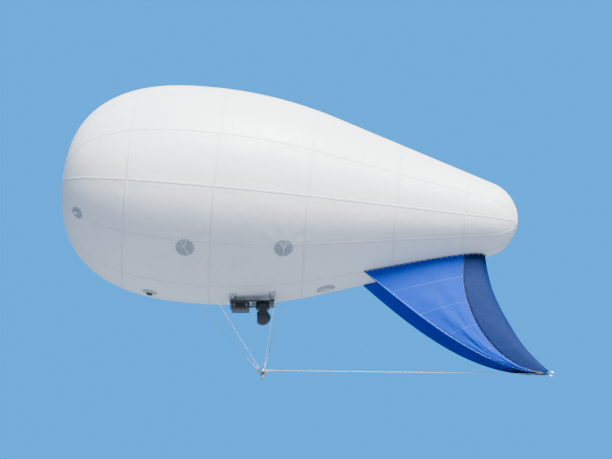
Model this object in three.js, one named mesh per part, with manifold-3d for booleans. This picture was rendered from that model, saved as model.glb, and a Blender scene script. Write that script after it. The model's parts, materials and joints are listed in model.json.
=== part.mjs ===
// A tethered kite balloon: a teardrop gas envelope with a cloth wind scoop under its tail,
// a camera payload slung close under its belly, and a bridle down to the tether swivel.
// Millimetres. +X points to the nose, +Y to port, +Z up. The origin is the centre of buoyancy.
import * as THREE from 'three';
import { mergeVertices } from 'three/addons/utils/BufferGeometryUtils.js';
import Module from 'manifold-3d';

const wasm = await Module();
wasm.setup();

const DEGREE = Math.PI / 180;

// Envelope: a full nose, a round shoulder, a straight tail cone and a round tail cap.
const ENVELOPE_LENGTH = 10000;
const ENVELOPE_RADIUS = 2380;
const WIDEST_STATION = 3040; // behind the nose
const NOSE_FULLNESS = 2.5; // 2 is an ellipse, and more is blunter
const TAIL_CONE = 17.8 * DEGREE;
const TAIL_CAP_RADIUS = 840;
const BUOYANCY_STATION = 3907; // behind the nose
const SHELL = 10;
const TRIM = 5.3 * DEGREE; // nose up, as it flies
const SIDES = 36;

// Whatever lies on the skin keeps this gap to it, and so do pieces that only touch.
const SEAT = 0.3;
// Bodies that are joined into one piece run this far into each other.
const OVERLAP = 1;
const ROUND_SIDES = 32;
const SMALL_ROUND_SIDES = 24;
const PATCH_THICK = 6;

// Reinforcement patches. Angles are measured from the keel line, up the side.
const NOSE_PATCH_RADIUS = 520;
const TAIL_PATCH_RADIUS = 330;
const SIDE_PATCHES = [
  // name, station ahead of the origin, angle up the side, radius of the disc
  { name: 'fore', x: 990, angle: 41 * DEGREE, radius: 215 },
  { name: 'aft', x: -1110, angle: 43 * DEGREE, radius: 215 },
];
const NOSE_TIE = { x: 3420, angle: 47 * DEGREE, radius: 130 };
const TIE_LUG = { length: 70, thick: 12, height: 28, hole: 9 };

// Gas fittings on the keel line.
const INFLATION_PORT = { x: 1750, flange: 105, neck: 62, bore: 50, height: 42, cap: 70, capThick: 20 };
const RELIEF_VALVE = { x: -2050, flange: 140, neck: 92, bore: 78, height: 26, cap: 118, capThick: 16 };
const PORT_CLEARANCE = 6; // the hole in the skin is this much wider than the bore

// Payload frame, hung level on straps under the belly.
const PAYLOAD = {
  front: 210, rear: -770, width: 460, bar: 44, thick: 30, top: -2425, corner: 30,
  deck: -250, deckCorner: 12, slotInset: 20, slotCorner: 8, // the deck carries the turret
};
const BRACKET = { width: 58, thick: 4, height: 28, chamfer: 7 }; // two lips clamp each strap's foot
const HANGER = { width: 46, thick: 10, inset: 60, height: 260 };
const BELLY_BAND = { length: 110, width: 640, shift: 213 }; // the shift is the trim's, at belly depth
const EQUIPMENT_BOX = { front: 180, rear: -210, width: 330, height: 140, corner: 28, flange: 18, lip: 8 };
const FINS = { count: 19, first: -105, pitch: 10, thick: 3, reach: 11, height: 100, drop: 22 };
const CONNECTORS = [
  // place across the box, size, and 1 on its front face or -1 on its rear one
  { y: -85, size: 13, way: 1 },
  { y: 0, size: 13, way: 1 },
  { y: 85, size: 13, way: 1 },
  { y: 90, size: 10, way: -1 },
];
// The radii are in parts of a connector's size.
const CONNECTOR = { drop: 75, flange: 1.45, flangeThick: 3, cap: 1.18, capThick: 23 };

// Camera turret.
const TURRET_X = -500;
const TURRET = {
  baseRadius: 130, baseHeight: 46, spindle: 50, spindleHeight: 30, clearance: 6,
  headRadius: 150, headHeight: 60, bridgeHeight: 48, armGap: 10, armThick: 30, armWidth: 150,
  ballRadius: 170, ballDrop: 18, stub: 18, stubShort: 4, face: 120, hubRadius: 54, hubThick: 3,
};
const WINDOWS = [
  // name, sideways and upward offset from the ball's centre, radius
  { name: 'day_camera_window', y: -56, z: 26, radius: 52 },
  { name: 'thermal_window', y: 58, z: 30, radius: 44 },
  { name: 'rangefinder_window', y: 0, z: -72, radius: 22 },
];
const WINDOW = { depth: 14, thick: 10, bezel: 8.5, bezelShare: 0.28, bezelThick: 3 };

// Radial gap between a shaft and the hole it turns in.
const BEARING_GAP = 0.5;

// Bridle and tether swivel.
const CONFLUENCE = {
  z: -4000, radius: 105, thick: 16, lug: 20, lugHeight: 34, lugThick: 14, eye: 8, reach: 82,
};
const LINE_RADIUS = 6;
const LINE_SIDES = 8;
const STAY_TAB = { length: 130, width: 60, rise: 16, stand: 34, root: 100 }; // its root is cut to the skin
const SWIVEL = { radius: 42, height: 66, lipHeight: 12, cavity: 30, cavityHeight: 30 };
const CLEVIS = { gap: 36, ear: 14, width: 60, block: 26, hole: 11, holeDrop: 50, clearance: 6 };
const CLEVIS_SHANK = { radius: 16, head: 24, headThick: 14, headClearance: 8 };

// Wind scoop: a U in plan, open forward and below, drawn out to one corner astern.
// Both outlines run from the belly to that corner, in the envelope's own axes.
const SCOOP_HEM = [[-2857, -1573], [-4151, -2527], [-5557, -3602], [-7084, -3400]];
const SCOOP_STERN = [[-5448, -860], [-5544, -1846], [-6243, -2886], [-7084, -3400]];
const SCOOP_HALF_WIDTH = [460, 620, 350, 0];
const SCOOP_THICK = 8;
const SCOOP_BLUNTNESS = 0.25; // share of the plan curve that is a parabola, the rest is blunter
const SEAM = { top: 0.57, bottom: 1, growth: 0.8 };
const SIDE_PANEL_END = 0.9;
const STERN_PANEL_END = 0.965;
const SIDE_COLUMNS = 6;
const STERN_COLUMNS = 12;
const SCOOP_ROWS = 14;
const LACING_HALF_WIDTH = 34;
const CORNER_RING = { radius: 46, tube: 11 };

const MATERIALS = {
  skin: [0xf2f4f6, 0.55, 0],
  patch: [0xa9b0ba, 0.7, 0],
  webbing: [0xd8dce2, 0.85, 0],
  scoopBlue: [0x3f78dc, 0.75, 0],
  scoopNavy: [0x0b3076, 0.75, 0],
  rope: [0xe4e1d6, 0.9, 0],
  darkMetal: [0x2a3038, 0.45, 0.6],
  aluminium: [0xa8adb3, 0.4, 0.9],
  steel: [0x8d9298, 0.35, 1],
  plastic: [0xdfe3e6, 0.5, 0],
  darkPlastic: [0x27282a, 0.5, 0],
  glass: [0x0d1620, 0.08, 0],
};
const materials = Object.fromEntries(
  Object.entries(MATERIALS).map(([name, [color, roughness, metalness]]) => [
    name,
    new THREE.MeshStandardMaterial({ name, color, roughness, metalness }),
  ]),
);

// Solids and booleans

const MERGE_DISTANCE = 1e-3;

function solid(geometry) {
  const bare = geometry.clone();
  bare.deleteAttribute('normal');
  bare.deleteAttribute('uv');
  const merged = mergeVertices(bare, MERGE_DISTANCE);
  return new wasm.Manifold(
    new wasm.Mesh({
      numProp: 3,
      vertProperties: merged.attributes.position.array,
      triVerts: new Uint32Array(merged.index.array),
    }),
  );
}

function geometryOf(made) {
  const mesh = made.getMesh();
  const geometry = new THREE.BufferGeometry();
  geometry.setAttribute('position', new THREE.BufferAttribute(new Float32Array(mesh.vertProperties), 3));
  geometry.setIndex(new THREE.BufferAttribute(new Uint32Array(mesh.triVerts), 1));
  geometry.computeVertexNormals();
  return geometry;
}

function union(...geometries) {
  return geometries.map(solid).reduce((sum, next) => sum.add(next));
}

function piece(name, geometry, material, position) {
  const mesh = new THREE.Mesh(geometry, materials[material]);
  mesh.name = name;
  if (position) mesh.position.set(...position);
  return mesh;
}

function box(width, depth, height, x = 0, y = 0, z = 0) {
  return new THREE.BoxGeometry(width, depth, height).translate(x, y, z);
}

// An upright cylinder from its bottom height up.
function post(radius, bottom, height, x = 0, y = 0, sides = ROUND_SIDES) {
  return new THREE.CylinderGeometry(radius, radius, height, sides)
    .rotateX(Math.PI / 2)
    .translate(x, y, bottom + height / 2);
}

// A flat plate cut from an outline in X and Y, standing on its bottom height.
function plate(shape, bottom, thick, curveSegments = 8) {
  return new THREE.ExtrudeGeometry(shape, { depth: thick, bevelEnabled: false, curveSegments })
    .translate(0, 0, bottom);
}

function roundedRectangle(front, rear, width, corner) {
  const side = width / 2;
  const shape = new THREE.Shape();
  shape.moveTo(rear + corner, -side);
  shape.lineTo(front - corner, -side);
  shape.absarc(front - corner, -side + corner, corner, -Math.PI / 2, 0);
  shape.lineTo(front, side - corner);
  shape.absarc(front - corner, side - corner, corner, 0, Math.PI / 2);
  shape.lineTo(rear + corner, side);
  shape.absarc(rear + corner, side - corner, corner, Math.PI / 2, Math.PI);
  shape.lineTo(rear, -side + corner);
  shape.absarc(rear + corner, -side + corner, corner, Math.PI, Math.PI * 1.5);
  return shape;
}

// Turns a geometry made along +Z so that it points along a direction, and carries it to a place.
function aim(geometry, direction, place) {
  const turn = new THREE.Quaternion().setFromUnitVectors(new THREE.Vector3(0, 0, 1), direction);
  return geometry.applyQuaternion(turn).translate(place.x, place.y, place.z);
}

// Envelope shape

const CAP_CENTRE = ENVELOPE_LENGTH - TAIL_CAP_RADIUS;
const CONE_END = CAP_CENTRE + TAIL_CAP_RADIUS * Math.sin(TAIL_CONE);
const CONE_END_RADIUS = TAIL_CAP_RADIUS * Math.cos(TAIL_CONE);
const SHOULDER_RADIUS =
  (CONE_END_RADIUS - ENVELOPE_RADIUS + Math.tan(TAIL_CONE) * (CONE_END - WIDEST_STATION)) /
  (Math.tan(TAIL_CONE) * Math.sin(TAIL_CONE) - (1 - Math.cos(TAIL_CONE)));
const SHOULDER_END = WIDEST_STATION + SHOULDER_RADIUS * Math.sin(TAIL_CONE);

// Radius of the skin at a distance behind the nose.
function radiusBehindNose(station) {
  if (station < WIDEST_STATION) {
    const ahead = (WIDEST_STATION - station) / WIDEST_STATION;
    return ENVELOPE_RADIUS * (1 - ahead ** NOSE_FULLNESS) ** (1 / NOSE_FULLNESS);
  }
  if (station < SHOULDER_END) {
    const along = station - WIDEST_STATION;
    return ENVELOPE_RADIUS - SHOULDER_RADIUS + Math.sqrt(SHOULDER_RADIUS ** 2 - along ** 2);
  }
  if (station < CONE_END) return CONE_END_RADIUS + (CONE_END - station) * Math.tan(TAIL_CONE);
  return Math.sqrt(Math.max(0, TAIL_CAP_RADIUS ** 2 - (station - CAP_CENTRE) ** 2));
}

// Stations behind the nose at which the lathe has its rings.
function ringStations() {
  const nose = [];
  const NOSE_RINGS = 9;
  for (let i = 0; i <= NOSE_RINGS; i++) {
    const turn = (i / NOSE_RINGS) * (Math.PI / 2);
    nose.push(WIDEST_STATION * (1 - Math.cos(turn) ** (2 / NOSE_FULLNESS)));
  }
  const SHOULDER_RINGS = 5;
  const shoulder = [];
  for (let i = 1; i <= SHOULDER_RINGS; i++) {
    shoulder.push(WIDEST_STATION + SHOULDER_RADIUS * Math.sin((TAIL_CONE * i) / SHOULDER_RINGS));
  }
  const CAP_RINGS = 6;
  const cap = [];
  for (let i = 0; i <= CAP_RINGS; i++) {
    const turn = TAIL_CONE + (Math.PI / 2 - TAIL_CONE) * (i / CAP_RINGS);
    cap.push(CAP_CENTRE + TAIL_CAP_RADIUS * Math.sin(turn));
  }
  return [...nose, ...shoulder, ...cap];
}

// Outward direction of the outline: its forward part, and its part away from the axis.
function outlineNormal(station) {
  const step = 0.5;
  const ahead = Math.max(0, station - step);
  const behind = Math.min(ENVELOPE_LENGTH, station + step);
  const rise = radiusBehindNose(behind) - radiusBehindNose(ahead);
  return new THREE.Vector2(rise, behind - ahead).normalize();
}

// The envelope's solid, grown or shrunk by an offset, about the X axis in its own frame.
function bulk(offset) {
  const profile = ringStations().map((station, i, all) => {
    const x = BUOYANCY_STATION - station;
    if (i === 0) return new THREE.Vector2(0, x + offset);
    if (i === all.length - 1) return new THREE.Vector2(0, x - offset);
    const normal = outlineNormal(station);
    return new THREE.Vector2(radiusBehindNose(station) + offset * normal.y, x + offset * normal.x);
  });
  return solid(new THREE.LatheGeometry(profile.reverse(), SIDES).rotateZ(-Math.PI / 2));
}

// A point on the skin and the skin's outward direction there.
function onSkin(x, angle) {
  const station = BUOYANCY_STATION - x;
  const radius = radiusBehindNose(station);
  const slope = outlineNormal(station);
  const point = new THREE.Vector3(x, radius * Math.sin(angle), -radius * Math.cos(angle));
  const normal = new THREE.Vector3(slope.x, slope.y * Math.sin(angle), -slope.y * Math.cos(angle));
  return { point, normal };
}

const skinSolid = bulk(0);
const patchFloor = bulk(SEAT);
const patchTop = bulk(SEAT + PATCH_THICK);
const abovePatch = bulk(2 * SEAT + PATCH_THICK);

// A sheet of patch thickness over the skin, inside a blank's outline.
function patchFrom(blank) {
  return blank.intersect(patchTop).subtract(patchFloor);
}

const PLUG_LENGTH = 500;

function plug(radius, x, angle) {
  const { point, normal } = onSkin(x, angle);
  return solid(aim(post(radius, -PLUG_LENGTH / 2, PLUG_LENGTH, 0, 0, SMALL_ROUND_SIDES), normal, point));
}

const trimTurn = new THREE.Matrix4().makeRotationY(-TRIM);
const levelSkinAbovePatch = solid(geometryOf(abovePatch).applyMatrix4(trimTurn));

function envelopePieces() {
  const holes = [INFLATION_PORT, RELIEF_VALVE].map((port) =>
    plug(port.bore + PORT_CLEARANCE, port.x, 0),
  );
  const shell = holes.reduce((left, hole) => left.subtract(hole), skinSolid.subtract(bulk(-SHELL)));
  const noseBlank = solid(
    aim(post(NOSE_PATCH_RADIUS, 0, PLUG_LENGTH * 2), new THREE.Vector3(1, 0, 0),
      new THREE.Vector3(BUOYANCY_STATION - PLUG_LENGTH, 0, 0)),
  );
  const tailPole = BUOYANCY_STATION - ENVELOPE_LENGTH;
  const tailBlank = solid(
    aim(post(TAIL_PATCH_RADIUS, 0, PLUG_LENGTH), new THREE.Vector3(-1, 0, 0),
      new THREE.Vector3(tailPole + PLUG_LENGTH / 2, 0, 0)),
  );
  return [
    piece('envelope_shell', geometryOf(shell), 'skin'),
    piece('nose_patch', geometryOf(patchFrom(noseBlank)), 'skin'),
    piece('tail_patch', geometryOf(patchFrom(tailBlank)), 'skin'),
  ];
}

// A gas fitting: a flange that follows the skin, a short neck, and a cap over the neck.
function gasFitting(name, capName, port, capFinish) {
  const { point, normal } = onSkin(port.x, 0);
  const flange = patchFrom(plug(port.flange, port.x, 0)).subtract(plug(port.bore, port.x, 0));
  const root = PLUG_LENGTH / 4; // inside the bag, and cut away
  const tube = post(port.neck, -root, root + port.height, 0, 0, SMALL_ROUND_SIDES);
  const neck = solid(aim(tube, normal, point)).subtract(plug(port.bore, port.x, 0)).subtract(patchFloor);
  const lid = post(port.cap, port.height + SEAT, port.capThick, 0, 0, SMALL_ROUND_SIDES);
  const cap = aim(lid, normal, point);
  return [
    piece(name, geometryOf(flange.add(neck)), 'plastic'),
    piece(capName, cap, capFinish),
  ];
}

// A flat lug with a hole, standing on a small disc patch, where a handling line is tied.
function tiePiece(name, side) {
  const { point, normal } = onSkin(NOSE_TIE.x, side * NOSE_TIE.angle);
  const disc = patchFrom(plug(NOSE_TIE.radius, NOSE_TIE.x, side * NOSE_TIE.angle));
  const outline = new THREE.Shape();
  const half = TIE_LUG.length / 2;
  outline.moveTo(-half, -TIE_LUG.height);
  outline.lineTo(half, -TIE_LUG.height);
  outline.lineTo(half, TIE_LUG.height);
  outline.absarc(0, TIE_LUG.height, half, 0, Math.PI);
  outline.holes.push(new THREE.Path().absarc(0, TIE_LUG.height, TIE_LUG.hole, 0, Math.PI * 2));
  const lug = plate(outline, -TIE_LUG.thick / 2, TIE_LUG.thick).rotateX(Math.PI / 2);
  return piece(name, geometryOf(disc.add(solid(aim(lug, normal, point)).subtract(patchFloor))), 'patch');
}

// Stays: each runs from a webbing tab on a side patch down to a lug of the confluence plate.

const confluenceTop = CONFLUENCE.z + CONFLUENCE.thick / 2;
const confluenceBottom = CONFLUENCE.z - CONFLUENCE.thick / 2;

function toLevel(point) {
  return point.clone().applyMatrix4(trimTurn);
}

// The centre of the round top of the confluence lug that faces a point.
function lugFacing(target) {
  const outward = new THREE.Vector3(target.x - TURRET_X, target.y, 0).normalize();
  const eye = new THREE.Vector3(TURRET_X, 0, confluenceTop + CONFLUENCE.lugHeight);
  return eye.addScaledVector(outward, CONFLUENCE.reach);
}

// An upright round-topped lug about its eye, in the vertical plane that looks outward.
function uprightLug(eye) {
  const outline = new THREE.Shape();
  const half = CONFLUENCE.lug;
  outline.moveTo(-half, -CONFLUENCE.lugHeight - OVERLAP);
  outline.lineTo(half, -CONFLUENCE.lugHeight - OVERLAP);
  outline.lineTo(half, 0);
  outline.absarc(0, 0, half, 0, Math.PI);
  outline.holes.push(new THREE.Path().absarc(0, 0, CONFLUENCE.eye, 0, Math.PI * 2));
  return plate(outline, -CONFLUENCE.lugThick / 2, CONFLUENCE.lugThick, 6)
    .rotateX(Math.PI / 2)
    .rotateZ(Math.atan2(eye.y, eye.x - TURRET_X))
    .translate(eye.x, eye.y, eye.z);
}

// A line between two points, with its own direction.
function line(from, to) {
  const along = to.clone().sub(from);
  return aim(post(LINE_RADIUS, 0, along.length(), 0, 0, LINE_SIDES), along.clone().normalize(), from);
}

const corner = new THREE.Vector3(SCOOP_HEM[3][0], 0, SCOOP_HEM[3][1]);
const stays = SIDE_PATCHES.flatMap((patch) =>
  [1, -1].map((side) => {
    const { point, normal } = onSkin(patch.x, side * patch.angle);
    const start = toLevel(point.clone().addScaledVector(normal, STAY_TAB.stand));
    const lug = lugFacing(start);
    return { patch, side, start, lug, along: lug.clone().sub(start).normalize() };
  }),
);

function sideName(side) {
  return side > 0 ? 'port' : 'starboard';
}

// The webbing tab that a stay leaves from, flush with the patch below it.
function stayTab(stay) {
  const { normal } = onSkin(stay.patch.x, stay.side * stay.patch.angle);
  const outward = toLevel(normal);
  const across = new THREE.Vector3().crossVectors(outward, stay.along).normalize();
  const up = new THREE.Vector3().crossVectors(stay.along, across);
  const { length, width, rise, root } = STAY_TAB;
  const tab = box(length, width, root + rise, 0, 0, (rise - root) / 2);
  tab.applyMatrix4(new THREE.Matrix4().makeBasis(stay.along, across, up).setPosition(stay.start));
  return solid(tab).subtract(levelSkinAbovePatch);
}

function bridlePieces() {
  const pieces = [];
  for (const stay of stays) {
    const name = `${stay.patch.name}_${sideName(stay.side)}`;
    pieces.push(piece(`stay_tab_${name}`, geometryOf(stayTab(stay)), 'webbing'));
    const top = stay.start.clone().addScaledVector(stay.along, STAY_TAB.length / 2 + SEAT);
    const bottom = stay.lug.clone().addScaledVector(stay.along, -CONFLUENCE.lug - SEAT);
    pieces.push(piece(`stay_${name}`, line(top, bottom), 'rope'));
  }
  const ring = toLevel(corner);
  const rearLug = lugFacing(ring);
  const along = rearLug.clone().sub(ring).normalize();
  const start = ring.clone().addScaledVector(along, CORNER_RING.radius + CORNER_RING.tube + SEAT);
  const end = rearLug.clone().addScaledVector(along, -CONFLUENCE.lug - SEAT);
  pieces.push(piece('scoop_corner_line', line(start, end), 'rope'));
  const lugs = [...stays.map((stay) => stay.lug), rearLug].map(uprightLug);
  const disc = post(CONFLUENCE.radius, confluenceBottom, CONFLUENCE.thick, TURRET_X, 0);
  pieces.push(piece('confluence_plate', geometryOf(union(disc, ...lugs)), 'aluminium'));
  return pieces;
}

// Tether swivel: a headed shank that turns in a housing and ends in a clevis.
function swivelHousing() {
  const top = confluenceBottom - SEAT;
  const bottom = top - SWIVEL.height;
  const cavityFloor = bottom + SWIVEL.lipHeight;
  const lip = CLEVIS_SHANK.radius + BEARING_GAP;
  const outline = [
    [0, top], [0, cavityFloor + SWIVEL.cavityHeight], [SWIVEL.cavity, cavityFloor + SWIVEL.cavityHeight],
    [SWIVEL.cavity, cavityFloor], [lip, cavityFloor], [lip, bottom],
    [SWIVEL.radius, bottom], [SWIVEL.radius, top], [0, top],
  ].map(([x, y]) => new THREE.Vector2(x, y));
  return new THREE.LatheGeometry(outline, ROUND_SIDES).rotateX(Math.PI / 2).translate(TURRET_X, 0, 0);
}

const housingBottom = confluenceBottom - SEAT - SWIVEL.height;
const clevisTop = housingBottom - CLEVIS.clearance;

function tetherClevis() {
  const headBottom = housingBottom + SWIVEL.lipHeight + CLEVIS_SHANK.headClearance;
  const shank = post(CLEVIS_SHANK.radius, clevisTop - OVERLAP, headBottom - clevisTop + 2 * OVERLAP);
  const head = post(CLEVIS_SHANK.head, headBottom, CLEVIS_SHANK.headThick);
  const width = CLEVIS.gap + 2 * CLEVIS.ear;
  const block = box(CLEVIS.width, width, CLEVIS.block, 0, 0, clevisTop - CLEVIS.block / 2);
  const eyeHeight = clevisTop - CLEVIS.holeDrop;
  const half = CLEVIS.width / 2;
  const outline = new THREE.Shape();
  outline.moveTo(half, clevisTop - OVERLAP);
  outline.lineTo(-half, clevisTop - OVERLAP);
  outline.lineTo(-half, eyeHeight);
  outline.absarc(0, eyeHeight, half, Math.PI, Math.PI * 2);
  outline.holes.push(new THREE.Path().absarc(0, eyeHeight, CLEVIS.hole, 0, Math.PI * 2));
  const ears = [1, -1].map((side) =>
    plate(outline, -CLEVIS.ear / 2, CLEVIS.ear, 16)
      .rotateX(Math.PI / 2)
      .translate(0, side * (CLEVIS.gap + CLEVIS.ear) / 2, 0),
  );
  return geometryOf(union(shank, head, block, ...ears)).translate(TURRET_X, 0, 0);
}

// Payload

const HANGER_Y = (PAYLOAD.width - PAYLOAD.bar) / 2;
const frameBottom = PAYLOAD.top - PAYLOAD.thick;
const hangerPlaces = [PAYLOAD.front - HANGER.inset, PAYLOAD.rear + HANGER.inset].flatMap((x) =>
  [1, -1].map((side) => ({ x, side, end: x > TURRET_X ? 'front' : 'rear' })),
);

// A lip of a strap's bracket: a chamfered plate that stands on the frame beside the strap.
function bracketLip(x, y) {
  const half = BRACKET.width / 2;
  const { chamfer, height, thick } = BRACKET;
  const outline = new THREE.Shape();
  outline.moveTo(-half, -OVERLAP);
  outline.lineTo(half, -OVERLAP);
  outline.lineTo(half, height - chamfer);
  outline.lineTo(half - chamfer, height);
  outline.lineTo(chamfer - half, height);
  outline.lineTo(-half, height - chamfer);
  return plate(outline, -thick / 2, thick).rotateX(Math.PI / 2).translate(x, y, PAYLOAD.top);
}

function payloadFrame() {
  const { bar, width, front, rear, thick, corner: round, deck, deckCorner, slotInset, slotCorner } = PAYLOAD;
  const outline = roundedRectangle(front, rear, width, round);
  outline.holes.push(roundedRectangle(front - bar, deck, width - 2 * bar, deckCorner));
  const rearEnd = TURRET_X - (deck - TURRET_X);
  outline.holes.push(roundedRectangle(rearEnd, rear + bar / 2, width - 2 * (bar + slotInset), slotCorner));
  const lipOffset = HANGER.thick / 2 + SEAT + BRACKET.thick / 2;
  const lips = hangerPlaces.flatMap(({ x, side }) =>
    [lipOffset, -lipOffset].map((offset) => bracketLip(x, side * HANGER_Y + offset)),
  );
  return geometryOf(union(plate(outline, frameBottom, thick, 4), ...lips));
}

// Upright cooling fins along both sides of the box.
function coolingFins(top) {
  const { count, first, pitch, thick, reach, height, drop } = FINS;
  return Array.from({ length: count }, (_, i) => first + i * pitch).flatMap((x) =>
    [1, -1].map((side) =>
      box(thick, reach + OVERLAP, height,
        x, side * (EQUIPMENT_BOX.width + reach - OVERLAP) / 2, top - drop - height / 2),
    ),
  );
}

// A round connector under its dust cap: a flange on the box's end, and the cap.
function connector({ y, size, way }, top) {
  const face = way > 0 ? EQUIPMENT_BOX.front : EQUIPMENT_BOX.rear;
  const disc = (radius, reach) => {
    const length = reach + OVERLAP;
    return alongX(radius, way > 0 ? face - OVERLAP : face - reach, length, y, top - CONNECTOR.drop);
  };
  return [
    disc(size * CONNECTOR.flange, CONNECTOR.flangeThick),
    disc(size * CONNECTOR.cap, CONNECTOR.flangeThick + CONNECTOR.capThick),
  ];
}

function equipmentBox() {
  const { front, rear, width, height, corner: round, flange, lip } = EQUIPMENT_BOX;
  const top = frameBottom - SEAT;
  const body = plate(roundedRectangle(front, rear, width, round), top - height, height, 4);
  const rimOutline = roundedRectangle(front + flange, rear - flange, width + 2 * flange, round);
  const rim = plate(rimOutline, top - lip, lip, 4);
  const fittings = [...coolingFins(top), ...CONNECTORS.flatMap((each) => connector(each, top))];
  return geometryOf(union(body, rim, ...fittings));
}

function payloadPieces() {
  const hangers = hangerPlaces.map(({ x, side, end }) => {
    const strap = box(HANGER.width, HANGER.thick, HANGER.height,
      x, side * HANGER_Y, PAYLOAD.top + SEAT + HANGER.height / 2);
    const cut = solid(strap).subtract(levelSkinAbovePatch);
    return piece(`hanger_${end}_${sideName(side)}`, geometryOf(cut), 'webbing');
  });
  return [
    ...hangers,
    piece('payload_frame', payloadFrame(), 'darkMetal'),
    piece('equipment_box', equipmentBox(), 'darkMetal'),
  ];
}

function bellyBand(name, x) {
  const blank = box(BELLY_BAND.length, BELLY_BAND.width, ENVELOPE_RADIUS,
    x - BELLY_BAND.shift, 0, -ENVELOPE_RADIUS);
  return piece(name, geometryOf(patchFrom(solid(blank))), 'patch');
}

// Camera turret: the base is bolted to the frame, the head pans under it, and the ball tilts in the head.

const baseBottom = frameBottom - SEAT - TURRET.baseHeight;
const headTop = baseBottom - TURRET.clearance;
const headBottom = headTop - TURRET.headHeight;
const ballCentre = new THREE.Vector3(TURRET_X, 0, headBottom - TURRET.ballDrop - TURRET.ballRadius);
const armMiddle = TURRET.ballRadius + TURRET.armGap + TURRET.armThick / 2;
const armOutside = armMiddle + TURRET.armThick / 2;

function turretBase() {
  const socket = TURRET.spindle + BEARING_GAP;
  const roof = baseBottom + TURRET.spindleHeight;
  const outline = [
    [0, baseBottom + TURRET.baseHeight], [0, roof], [socket, roof], [socket, baseBottom],
    [TURRET.baseRadius, baseBottom], [TURRET.baseRadius, baseBottom + TURRET.baseHeight],
    [0, baseBottom + TURRET.baseHeight],
  ].map(([x, y]) => new THREE.Vector2(x, y));
  return new THREE.LatheGeometry(outline, ROUND_SIDES).rotateX(Math.PI / 2).translate(TURRET_X, 0, 0);
}

function turretHead() {
  const spindleTop = baseBottom + TURRET.spindleHeight - TURRET.clearance;
  const disc = post(TURRET.headRadius, headBottom, TURRET.headHeight);
  const spindle = post(TURRET.spindle, headTop - OVERLAP, spindleTop - headTop + OVERLAP);
  const bridge = box(TURRET.armWidth, 2 * armOutside, TURRET.bridgeHeight,
    0, 0, headBottom + TURRET.bridgeHeight / 2);
  const half = TURRET.armWidth / 2;
  const outline = new THREE.Shape();
  outline.moveTo(half, headBottom + TURRET.bridgeHeight);
  outline.lineTo(-half, headBottom + TURRET.bridgeHeight);
  outline.lineTo(-half, ballCentre.z);
  outline.absarc(0, ballCentre.z, half, Math.PI, Math.PI * 2);
  outline.holes.push(new THREE.Path().absarc(0, ballCentre.z, TURRET.stub + BEARING_GAP, 0, Math.PI * 2));
  const arms = [1, -1].map((side) =>
    plate(outline, -TURRET.armThick / 2, TURRET.armThick, 12)
      .rotateX(Math.PI / 2)
      .translate(0, side * armMiddle, 0),
  );
  const { hubRadius, hubThick } = TURRET;
  const hubs = [1, -1].map((side) =>
    new THREE.CylinderGeometry(hubRadius, hubRadius, hubThick + OVERLAP, ROUND_SIDES)
      .translate(0, side * (armOutside + (hubThick - OVERLAP) / 2), ballCentre.z),
  );
  return geometryOf(union(disc, spindle, bridge, ...arms, ...hubs)).translate(TURRET_X, 0, 0);
}

function alongX(radius, x, length, y, z) {
  return new THREE.CylinderGeometry(radius, radius, length, SMALL_ROUND_SIDES)
    .rotateZ(Math.PI / 2)
    .translate(x + length / 2, y, z);
}

// The ball is cut flat in front, and each window lies in a pocket behind a raised bezel.
function turretBall() {
  const sphere = new THREE.SphereGeometry(TURRET.ballRadius, 24, 16);
  const stubLength = 2 * (armOutside - TURRET.stubShort);
  const stub = new THREE.CylinderGeometry(TURRET.stub, TURRET.stub, stubLength, SMALL_ROUND_SIDES);
  const reach = TURRET.ballRadius;
  const front = solid(box(reach, 2 * reach, 2 * reach, TURRET.face + reach / 2, 0, 0));
  const body = union(sphere, stub).subtract(front);
  const bezels = WINDOWS.map(({ radius, y, z }) => {
    const outside = radius + Math.min(WINDOW.bezel, radius * WINDOW.bezelShare);
    return solid(alongX(outside, TURRET.face - OVERLAP, WINDOW.bezelThick + OVERLAP, y, z));
  });
  const pockets = WINDOWS.map(({ radius, y, z }) =>
    solid(alongX(radius + SEAT * 2, TURRET.face - WINDOW.depth, reach, y, z)),
  );
  const raised = bezels.reduce((sum, bezel) => sum.add(bezel), body);
  return geometryOf(pockets.reduce((left, pocket) => left.subtract(pocket), raised));
}

function turretPieces() {
  const windows = WINDOWS.map((window) => {
    const pane = alongX(window.radius, TURRET.face - WINDOW.depth + SEAT, WINDOW.thick, window.y, window.z);
    return piece(window.name, pane, 'glass', ballCentre.toArray());
  });
  return [
    piece('turret_base', turretBase(), 'darkMetal'),
    piece('turret_head', turretHead(), 'darkMetal'),
    piece('turret_ball', turretBall(), 'darkMetal', ballCentre.toArray()),
    ...windows,
  ];
}

// Wind scoop

function bezier(points, t) {
  const s = 1 - t;
  const weights = [s ** 3, 3 * t * s ** 2, 3 * t ** 2 * s, t ** 3];
  return weights.reduce((sum, weight, i) => sum + weight * points[i], 0);
}

function outlinePoint(outline, down) {
  return {
    x: bezier(outline.map((point) => point[0]), down),
    z: bezier(outline.map((point) => point[1]), down),
  };
}

// Height of the belly under a plan position.
function bellyHeight(x, y) {
  const radius = radiusBehindNose(BUOYANCY_STATION - x);
  return -Math.sqrt(Math.max(0, radius ** 2 - y ** 2));
}

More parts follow.
